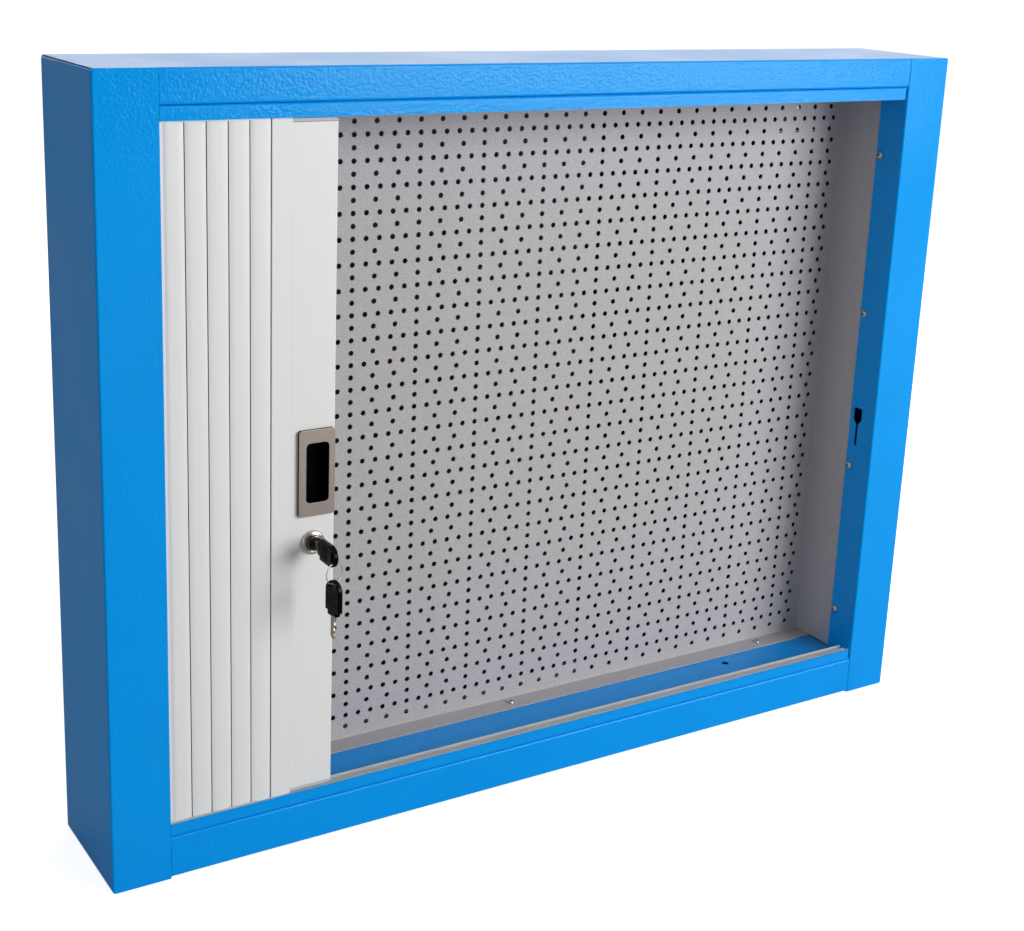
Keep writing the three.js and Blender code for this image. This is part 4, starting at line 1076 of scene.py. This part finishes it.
class CABINET_OT_lead_profile(bpy.types.Operator):
    """Extrudes the lead profile: a tail like a slat and a hollow handle"""

    bl_idname = "cabinet.lead_profile"
    bl_label = "Lead profile"
    HANDLE_LEFT = -314.9
    HANDLE_FOOT = 62.5
    EDGE = 2.2
    WALL = 1.6
    CAP_ROUND = 8  # width of the round at a cap's outer corner
    STEP = 0.1  # from the handle's face back to the tail's
    TAIL_DEPTH = 4.6
    TAIL_LAP = 0.3  # how far the tail reaches into the handle
    SET_BACK = 0.05  # of the frame's profile from the last slat's pitch line

    def execute(self, context):
        settings = context.scene.cabinet_curtain
        low, high = corners("lead_profile")
        handle_top = low.z + high.z - self.HANDLE_FOOT
        tube = box(
            "handle",
            (self.HANDLE_LEFT, low.y, self.HANDLE_FOOT),
            (high.x, high.y, handle_top),
        )
        edit(tube)
        pick("EDGE", along(2, (0, lambda x: x > self.HANDLE_LEFT + 1)))
        round_edges(self.EDGE, 6)
        pick("FACE", lambda middle, normal: abs(normal.z) > 0.9)
        bpy.ops.mesh.delete(type="FACE")
        leave()
        thicken(tube, self.WALL, -1)
        combine(tube, pull_opening("window", 1.8, low.y - 4, low.y + 14, 6))
        lock = middle_of("lock_plug")
        combine(tube, rod("bore", "y", LOCK_HOLE, (lock.x, lock.y, lock.z), 60))
        tail_left = low.x - self.SET_BACK + settings.joint / MM / 2
        tail_high = Vector((self.HANDLE_LEFT + self.TAIL_LAP, low.y + self.TAIL_DEPTH, high.z))
        tail = box("tail", (tail_left, low.y + self.STEP, low.z), tail_high)
        edit(tail)
        pick("EDGE", along(2, (0, lambda x: x < self.HANDLE_LEFT - 5)))
        round_edges(0.7, 3)
        leave()
        profile = join("lead_handle", smooth(break_edges(tube, 0.25)), smooth(tail))
        dress(profile, finishes()["slat"], "shutter", "slat_white", "lead_profile")
        for level in ("lower", "upper"):
            self.end_cap(level)
        return {"FINISHED"}

    def end_cap(self, level):
        """A light grey cap with a long round at its outer corner."""
        name = level + "_end_cap"
        low, high = corners(name)
        outer, seat = (low.z, high.z) if level == "lower" else (high.z, low.z)
        rise = (seat - outer) * 0.88
        outline = [(low.x, seat), (low.x, outer), (high.x - self.CAP_ROUND, outer)]
        for i in range(1, 7):
            t = i / 6
            outline.append((high.x - self.CAP_ROUND * (1 - t) ** 2, outer + rise * t * t))
        outline.append((high.x, seat))
        cap = drawn_line("handle_" + name, [(x, low.y, z) for x, z in outline], closed=True)
        pull((0, high.y - low.y, 0))
        leave()
        smooth(break_edges(weld(cap), 0.4, 3))
        dress(cap, finishes()["cap"], "shutter", "cap_grey", name)


def rounded_block(name, low, high, radius):
    """A block whose four edges along Y are round."""
    piece = box(name, low, high)
    edit(piece)
    pick("EDGE", along(1))
    round_edges(radius, 6)
    leave()
    return piece


def pull_opening(name, grow, front, rear, radius):
    """A block that fills the finger opening between two levels, wider by a margin."""
    low, high = corners("pull_plate")
    middle = (low + high) / 2
    reach = (12 + grow, 30 + grow)
    x = middle.x + 0.65
    return rounded_block(
        name, (x - reach[0], front, middle.z - reach[1]), (x + reach[0], rear, middle.z + reach[1]), radius
    )


class CABINET_OT_pull(bpy.types.Operator):
    """Stamps the pull's plate and moulds the cup behind it"""

    bl_idname = "cabinet.pull"
    bl_label = "Flush pull"
    PLATE_CORNER = 3
    CUP_CORNER = 4.5
    WALL = 1.5
    RIM = 2

    def execute(self, context):
        edge = context.scene.cabinet_hardware.edge / MM
        low, high = corners("pull_plate")
        plate = rounded_block("pull_cover", low, high, self.PLATE_CORNER)
        combine(plate, pull_opening("window", 0, low.y - 5, high.y + 5, self.CUP_CORNER))
        smooth(break_edges(plate, edge * 0.7, 3))
        dress(plate, finishes()["stainless"], "shutter", "pull_steel", "pull_plate")

        low, high = corners("pull_cup")
        rim_high = (high.x, low.y + self.RIM, high.z)
        cup = rounded_block("pull_pocket", low, rim_high, self.PLATE_CORNER)
        radius = self.CUP_CORNER + self.WALL
        combine(cup, pull_opening("walls", self.WALL, low.y + HAIR, high.y, radius), "UNION")
        rear = high.y - self.WALL
        room = pull_opening("room", 0, low.y - 5, rear, self.CUP_CORNER)
        edit(room)
        pick("EDGE", lambda a, b: near(a.y, rear) and near(b.y, rear))
        round_edges(2, 4)
        leave()
        combine(cup, room)
        smooth(break_edges(cup, 0.25, 2))
        dress(cup, finishes()["cup"], "shutter", "black_plastic", "pull_cup")
        return {"FINISHED"}


# The lock and its keys


def turned(name, profile, axis_x, axis_z):
    """Spins a closed profile of radius and Y about an axis along Y."""
    points = [(axis_x + radius, y, axis_z) for radius, y in profile]
    piece = drawn_line(name, points + points[:1])
    bpy.ops.mesh.select_all(action="SELECT")
    bpy.ops.mesh.spin(
        steps=ROUND,
        angle=2 * math.pi,
        center=(axis_x * MM, 0, axis_z * MM),
        axis=(0, 1, 0),
        use_auto_merge=True,
    )
    leave()
    return weld(piece)


class CABINET_OT_lock(bpy.types.Operator):
    """Turns the lock's housing and plug, makes its nut, and finishes its hook and screw"""

    bl_idname = "cabinet.lock"
    bl_label = "Hook lock"
    BORE = 6.45
    PLUG = 6.25
    THREAD = 8.6

    def execute(self, context):
        low, high = corners("lock_housing")
        axis_x, axis_z = (low.x + high.x) / 2, (low.z + high.z) / 2
        front, rear = low.y, high.y
        tier, seat = front + 2.4, corners("lead_profile")[0].y - 0.3
        outer = (high.x - low.x) / 2
        profile = [
            (self.BORE, front + 0.9),
            (6.9, front + 0.2),
            (7.25, front),
            (7.55, front + 0.12),
            (8.2, front + 0.8),
            (8.5, front + 1.5),
            (8.55, tier + 0.1),
            (8.9, tier + 0.2),
            (9.4, tier),
            (10.4, tier + 0.15),
            (outer - 0.9, tier + 0.7),
            (outer - 0.25, tier + 1.4),
            (outer, tier + 2.2),
            (outer, seat),
            (self.THREAD, seat),
            (self.THREAD, rear),
            (self.BORE, rear),
        ]
        housing = smooth(turned("lock_collar", profile, axis_x, axis_z))
        dress(housing, finishes()["nickel"], "shutter", "lock_nickel", "lock_housing")

        # Painted shade: the groove between the collar's two tiers is painted dark to stand for its shade.
        def painted_shade_groove(middle, normal):
            return 7.6 < math.hypot(middle.x - axis_x, middle.z - axis_z) < 8.8 and middle.y < tier

        paint(housing, finishes()["plug"], painted_shade_groove)
        self.nut(axis_x, axis_z)
        self.plug(axis_x, axis_z)
        self.hook()
        return {"FINISHED"}

    def nut(self, axis_x, axis_z):
        low, high = corners("lock_nut")
        middle = (low.y + high.y) / 2
        size = (high.z - low.z) / 2
        nut = rod("lock_ring_nut", "y", size, (axis_x, middle, axis_z), high.y - low.y, 6)
        combine(nut, rod("bore", "y", LOCK_HOLE, (axis_x, middle, axis_z), 12))
        smooth(break_edges(nut, 0.4, 2))
        dress(nut, finishes()["zinc"], "shutter", "zinc", "lock_nut")

    def plug(self, axis_x, axis_z):
        low, high = corners("lock_plug")
        radius = self.PLUG
        profile = [
            (0, low.y + 0.25),
            (3.4, low.y + 0.1),
            (4.4, low.y),
            (radius - 0.5, low.y + 0.05),
            (radius, low.y + 0.5),
            (radius, high.y),
            (0, high.y),
        ]
        plug = turned("lock_core", profile, axis_x, axis_z)
        keyway = box(
            "keyway",
            (axis_x - 1.3, low.y - 2, axis_z - 3.8),
            (axis_x + 1.3, low.y + 16.6, axis_z + 3.8),
        )
        combine(plug, keyway)
        smooth(break_edges(plug, 0.15, 1, 40))
        dress(plug, finishes()["plug"], "lock", "lock_nickel", "lock_plug")

    def hook(self):
        """The stamped hook, and its screw, whose shapes are plain enough as they are."""
        for name in ("lock_hook", "hook_screw"):
            node = NODES[name]
            node.data.materials.clear()
            node.data.materials.append(finishes()["zinc"])


class CABINET_OT_keys(bpy.types.Operator):
    """Moulds the keys' bows, cuts their blades and winds the ring"""

    bl_idname = "cabinet.keys"
    bl_label = "Keys and ring"
    LENGTH = 36
    HALF = 10.75
    THICK = 5.6
    SHOULDER = 4.5
    ARCH = 11
    SPARE_TURN = 10
    RING_TURN = 20
    CUTS = (0.1, 0.32, 0.16, 0.38, 0.22, 0.34, 0.12)

    def execute(self, context):
        bow = self.bow()
        blade = self.blade()
        lock = middle_of("lock_plug")
        front = corners("key_bow")[1].y
        place = Matrix.Translation((lock.x * MM, front * MM, lock.z * MM))
        # The spare key's frame follows from its two nodes: it hangs with its blade down, turned about Z.
        spare = self.spare_frame()
        for label, matrix, body in (("key", place, "key"), ("spare_key", spare, "spare_key")):
            handle = copy_of(bow, label + "_handle", matrix)
            steel = copy_of(blade, label + "_shank", matrix)
            dress(handle, finishes()["bow"], body, "key_black", label + "_bow")
            dress(steel, finishes()["blade"], body, "lock_nickel", label + "_blade")
        for model in (bow, blade):
            bpy.data.objects.remove(model)
        self.ring()
        return {"FINISHED"}

    def bow(self):
        """In the key's own frame the blade points along +Y and the bow lies at Y under 0."""
        half, length, arch = self.HALF, self.LENGTH, self.ARCH
        outline = [(0, -7), (0, 7), (-self.SHOULDER, 7), (-self.SHOULDER, half)]
        steps = 20
        for i in range(steps + 1):
            angle = math.pi / 2 + math.pi * i / steps
            outline.append((-length + arch + arch * math.cos(angle), half * math.sin(angle)))
        outline += [(-self.SHOULDER, -half), (-self.SHOULDER, -7)]
        thick = self.THICK
        bow = drawn_line("bow", [(-thick / 2, y, z) for y, z in outline], closed=True)
        pull((thick, 0, 0))
        leave()
        break_edges(weld(bow), 1.3, 4, 40)
        hole_y = -length + 4.1
        slot = box("slot", (-9, hole_y - 2.4, -6.1), (9, hole_y + 2.4, 6.1))
        edit(slot)
        pick("EDGE", along(0))
        round_edges(2.1, 5)
        leave()
        combine(bow, slot)
        for side in (-1, 1):
            for i in range(5):
                y = -11 - 2.6 * i
                reach = 7.2
                low = (side * thick / 2 - 0.3, y - 0.5, -reach)
                high = (side * thick / 2 + 0.3, y + 0.5, reach)
                combine(bow, box("groove", low, high))
        return smooth(bow)

    def blade(self):
        """A flat blade with cuts in its lower edge, a pointed tip and a milled groove on each face."""
        half = 3.5
        points = [(-9.7, -half), (-9.7, half), (21, half), (24, 0.9), (24, -0.3)]
        start, end = 2.5, 22.5
        flat = (end - start) / (len(self.CUTS) * 2)
        bitting = []
        for i, share in enumerate(self.CUTS):
            centre = start + flat * (2 * i + 1)
            depth = -half + share * 2 * half
            bitting += [(centre - flat / 3, depth), (centre + flat / 3, depth)]
        points += bitting[::-1]
        points += [(start - 0.6, -half)]
        blade = drawn_line("blade", [(-1, y, z) for y, z in points], closed=True)
        pull((2, 0, 0))
        leave()
        weld(blade)
        for side in (-1, 1):
            low = (side - 0.4, 1.5, 0.5)
            high = (side + 0.4, 26, 1.7)
            combine(blade, box("groove", low, high))
        return smooth(break_edges(blade, 0.15, 1))

    def spare_frame(self):
        """Turns the key's frame so that its blade hangs down, then about Z, and puts it on its nodes."""
        turn = Matrix.Rotation(math.radians(self.SPARE_TURN), 4, "Z") @ Matrix.Rotation(-math.pi / 2, 4, "X")
        low, high = corners("spare_key_bow")
        blade_low, _ = corners("spare_key_blade")
        middle = (low + high) / 2
        shoulder = blade_low.z + 24
        return Matrix.Translation((middle.x * MM, middle.y * MM, shoulder * MM)) @ turn

    def ring(self):
        """Two turns of wire side by side, spun from a section like an eight and then turned about Z."""
        low, high = corners("key_ring")
        centre = (low + high) / 2
        wire = 0.46
        middle = (high.z - low.z) / 2 - 0.7
        section = []
        for side in (1, -1):
            for i in range(7):
                angle = math.pi * (i / 6) * 0.86 + math.pi * 0.07
                across = side * (0.32 + wire * math.sin(angle) * 0.8)
                section.append((middle + wire * math.cos(angle) * side, across))
        points = [(centre.x + radius, centre.y + y, centre.z) for radius, y in section]
        ring = drawn_line("split_ring", points + points[:1])
        bpy.ops.mesh.select_all(action="SELECT")
        bpy.ops.mesh.spin(
            steps=64, angle=2 * math.pi, center=centre * MM, axis=(0, 1, 0), use_auto_merge=True
        )
        leave()
        weld(ring, 0.005)
        there = Matrix.Translation(centre * MM)
        ring.data.transform(there @ Matrix.Rotation(math.radians(self.RING_TURN), 4, "Z") @ there.inverted())
        dress(smooth(ring), finishes()["zinc"], "ring", "zinc", "key_ring")


# Screws


class CABINET_OT_screws(bpy.types.Operator):
    """Forms pan head screws with a cross recess, a large and a small one, and puts copies at the places"""

    bl_idname = "cabinet.screws"
    bl_label = "Screws"
    SHANK = 8

    def execute(self, context):
        large, small = self.model(4.6, 3), self.model(3.6, 2.4)
        half_turn = Matrix.Rotation(math.pi, 4, "X")
        sideways = Matrix.Rotation(-math.pi / 2, 4, "Y")
        places = [(f"side_screw_{i}", large, sideways, 0, 0) for i in range(1, 5)]
        places += [(f"floor_screw_{i}", small, Matrix.Identity(4), 2, 1) for i in range(1, 4)]
        places += [(f"ceiling_screw_{i}", small, half_turn, 2, 0) for i in range(1, 4)]
        for i, (name, model, turn, axis, end) in enumerate(places):
            low, high = corners(name)
            spot = (low + high) / 2
            spot[axis] = (low, high)[end][axis]
            spin = Matrix.Rotation(0.37 * (i + 1), 4, "Z")
            matrix = Matrix.Translation(spot * MM) @ turn @ spin
            copy = copy_of(model, name + "_pan_head", matrix)
            dress(copy, finishes()["zinc"], "cabinet", "zinc", name)
            # Painted shade: the faces of the cross recess are painted dark.
            paint(copy, finishes()["plug"], self.recess(matrix.inverted()))
        for model in (large, small):
            bpy.data.objects.remove(model)
        return {"FINISHED"}

    def recess(self, back):
        """A test for the faces of the cross, which are painted dark as painted shade in the recess."""

        def test(middle, normal):
            place = (back @ (middle * MM)) / MM
            return -2.2 < place.z < -0.35 and math.hypot(place.x, place.y) < 2.3

        return test

    def model(self, radius, head):
        """The head's crown is at the origin, and the shank points down."""
        shares = [(0.26, 0.01), (0.56, 0.08), (0.8, 0.25), (0.95, 0.5), (1, 0.75), (1, 1)]
        profile = [(share * radius, -rise * head) for share, rise in shares]
        tip = -head - self.SHANK
        profile += [(1.95, -head), (1.95, tip + 0.6), (1.5, tip), (0, tip), (0, 0)]
        points = [(x, 0, z) for x, z in profile]
        screw = drawn_line("screw", points + points[:1])
        bpy.ops.mesh.select_all(action="SELECT")
        bpy.ops.mesh.spin(
            steps=24, angle=2 * math.pi, center=(0, 0, 0), axis=(0, 0, 1), use_auto_merge=True
        )
        leave()
        weld(screw, 0.005)
        long, short = radius * 0.5, radius * 0.13
        for size in ((long, short), (short, long)):
            blade = box("recess", (-size[0], -size[1], -head * 0.6), (size[0], size[1], 1))
            combine(screw, blade)
        return smooth(screw)


# The stage


class CABINET_OT_stage(bpy.types.Operator):
    """Lays a pale floor and sets the light"""

    bl_idname = "cabinet.stage"
    bl_label = "Stage"
    FLOOR_SIZE_M = 160
    FLOOR_LEVEL_M = -0.0005
    AIM_M = (0, 0, 0.39)  # the middle of the cabinet
    ROOM_BEHIND = 1.4  # strength of what a shine shows behind the object
    ROOM_IN_FRONT = 0.4
    ROOM_AT_LEFT = 0.35

    def execute(self, context):
        settings = context.scene.cabinet_stage
        deselect()
        bpy.ops.mesh.primitive_plane_add(size=self.FLOOR_SIZE_M, location=(0, 0, self.FLOOR_LEVEL_M))
        floor = named("floor")
        edit(floor)
        bpy.ops.mesh.select_all(action="SELECT")
        bpy.ops.mesh.subdivide(number_cuts=3)
        leave()
        floor.data.materials.append(self.floor_finish(settings))
        self.light(context, settings)
        context.scene.view_settings.view_transform = "Standard"
        return {"FINISHED"}

    def floor_finish(self, settings):
        """Matt board, which the camera sees as white where nothing shades it, and reflections as grey."""
        finish, tree, shader, place = surface("matt_painted_board")
        base = tuple(settings.floor)
        cloud = add(tree, "ShaderNodeTexNoise", {"Vector": place, "Scale": fineness(400)})
        board = add(tree, "ShaderNodeMix", {0: cloud, 6: tinted(base, 0.985), 7: base}, data_type="RGBA")
        rays = add(tree, "ShaderNodeLightPath").outputs
        shown = {0: rays["Is Camera Ray"], 6: board, 7: linear("F2F2F2")}
        colour = add(tree, "ShaderNodeMix", shown, data_type="RGBA")
        feed(tree, shader, Base_Color=colour, Roughness=0.9, Specular_IOR_Level=0.2)
        level = add(tree, "ShaderNodeMix", {0: rays["Is Glossy Ray"], 2: 0.8, 3: 0.05}, data_type="FLOAT")
        glow = add(tree, "ShaderNodeEmission", {"Color": (1, 1, 1, 1), "Strength": level})
        lit = add(tree, "ShaderNodeAddShader", {0: shader.outputs[0], 1: glow})
        mixed = add(tree, "ShaderNodeMixShader", {0: self.seen_directly(tree), 1: shader.outputs[0], 2: lit})
        join_socket(tree, mixed, tree.nodes["Material Output"].inputs["Surface"])
        return finish

    def seen_directly(self, tree):
        """One for rays that show the background: to the camera, in a reflection or through glass."""
        rays = add(tree, "ShaderNodeLightPath").outputs
        seen = {0: rays["Is Camera Ray"], 1: rays["Is Glossy Ray"]}
        first = add(tree, "ShaderNodeMath", seen, operation="MAXIMUM")
        return add(tree, "ShaderNodeMath", {0: first, 1: rays["Is Transmission Ray"]}, operation="MAXIMUM")

    def light(self, context, settings):
        world = bpy.data.worlds.new("studio")
        world.use_nodes = True
        context.scene.world = world
        tree = world.node_tree
        even = tree.nodes["Background"]
        even.inputs["Color"].default_value = (1, 1, 1, 1)
        even.inputs["Strength"].default_value = settings.even
        # A shine shows a room that is darker than white in front and at the left, and brighter behind.
        towards = add(tree, "ShaderNodeTexCoord").outputs["Generated"]
        way = add(tree, "ShaderNodeSeparateXYZ", {"Vector": towards}).outputs
        glossy = add(tree, "ShaderNodeLightPath").outputs["Is Glossy Ray"]
        depths = {"Value": way["Y"], "From Min": -0.9, "From Max": -0.1}
        depths.update({"To Min": self.ROOM_IN_FRONT, "To Max": self.ROOM_BEHIND})
        sides = {"Value": way["X"], "From Min": -0.3, "From Max": 0.1, "To Min": self.ROOM_AT_LEFT}
        in_front = add(tree, "ShaderNodeMapRange", depths)
        at_left = add(tree, "ShaderNodeMapRange", sides)
        room = add(tree, "ShaderNodeMath", {0: in_front, 1: at_left}, operation="MULTIPLY")
        level = add(tree, "ShaderNodeMix", {0: glossy, 2: 1.0, 3: room}, data_type="FLOAT")
        white = add(tree, "ShaderNodeBackground", {"Color": (1, 1, 1, 1), "Strength": level})
        mixed = add(tree, "ShaderNodeMixShader", {0: self.seen_directly(tree), 1: even, 2: white})
        join_socket(tree, mixed, tree.nodes["World Output"].inputs["Surface"])
        lamps = [
            ("key", (1.9, -2.9, 1.3), (2.0, 2.0), settings.key),
            ("rim", (1.9, 3.0, 1.7), (2.2, 2.2), settings.rim),
            ("side", (-2.5, -1.2, 0.8), (0.12, 1.4), settings.side),
        ]
        aim = Vector(self.AIM_M)
        for name, place, size, power in lamps:
            deselect()
            bpy.ops.object.light_add(type="AREA", location=place)
            lamp = context.object
            lamp.name = name
            lamp.data.shape = "RECTANGLE"
            lamp.data.size, lamp.data.size_y = size
            lamp.data.energy = power
            lamp.visible_camera = False
            lamp.visible_glossy = name != "rim"
            lamp.rotation_euler = (aim - Vector(place)).to_track_quat("-Z", "Y").to_euler()


class CABINET_OT_camera(bpy.types.Operator):
    """Sets the camera at the photograph's place and angle"""

    bl_idname = "cabinet.camera"
    bl_label = "Camera"
    PLACE_M = (-0.93809, -1.386437, 0.90269)
    RIGHT = (0.85305, -0.52051, 0.03705)
    UP = (0.10762, 0.24496, 0.96354)
    BACK = (-0.51061, -0.81796, 0.26498)
    SENSOR, LENS = 36, 57.68
    SHIFT = (0.0213, -0.0864)

    def execute(self, context):
        deselect()
        bpy.ops.object.camera_add()
        camera = context.object
        camera.name = "view"
        turn = Matrix((self.RIGHT, self.UP, self.BACK)).transposed().to_4x4()
        camera.matrix_world = Matrix.Translation(self.PLACE_M) @ turn
        camera.data.sensor_width, camera.data.lens = self.SENSOR, self.LENS
        camera.data.shift_x, camera.data.shift_y = self.SHIFT
        camera.data.clip_start = 0.05
        context.scene.camera = camera
        return {"FINISHED"}


class CABINET_PT_sidebar(bpy.types.Panel):
    """Lists the settings and the steps that build the cabinet"""

    bl_idname = "CABINET_PT_sidebar"
    bl_label = "Roll front tool cabinet"
    bl_space_type = "VIEW_3D"
    bl_region_type = "UI"
    bl_category = "Cabinet"

    def draw(self, context):
        for settings in SETTINGS:
            group = getattr(context.scene, settings)
            column = self.layout.column(align=True)
            for key in group.bl_rna.properties.keys():
                if key not in ("rna_type", "name"):
                    column.prop(group, key)
        for step in STEPS:
            self.layout.operator(step.bl_idname)


STEPS = (
    CABINET_OT_camera,
    CABINET_OT_side_panels,
    CABINET_OT_case_plates,
    CABINET_OT_decks,
    CABINET_OT_tool_tray,
    CABINET_OT_tracks,
    CABINET_OT_slats,
    CABINET_OT_curtain,
    CABINET_OT_lead_profile,
    CABINET_OT_pull,
    CABINET_OT_lock,
    CABINET_OT_keys,
    CABINET_OT_screws,
    CABINET_OT_stage,
)

SETTINGS = {
    "cabinet_case": CaseSettings,
    "cabinet_tray": TraySettings,
    "cabinet_curtain": CurtainSettings,
    "cabinet_hardware": HardwareSettings,
    "cabinet_stage": StageSettings,
}


def register():
    for cls in (*SETTINGS.values(), *STEPS, CABINET_PT_sidebar):
        bpy.utils.register_class(cls)
    for name, cls in SETTINGS.items():
        setattr(bpy.types.Scene, name, PointerProperty(type=cls))


def unregister():
    for name in SETTINGS:
        delattr(bpy.types.Scene, name)
    for cls in reversed((*SETTINGS.values(), *STEPS, CABINET_PT_sidebar)):
        bpy.utils.unregister_class(cls)


def main():
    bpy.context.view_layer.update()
    register()
    for step in STEPS:
        group, name = step.bl_idname.split(".")
        getattr(getattr(bpy.ops, group), name)()
    deselect()


if __name__ == "__main__":
    main()
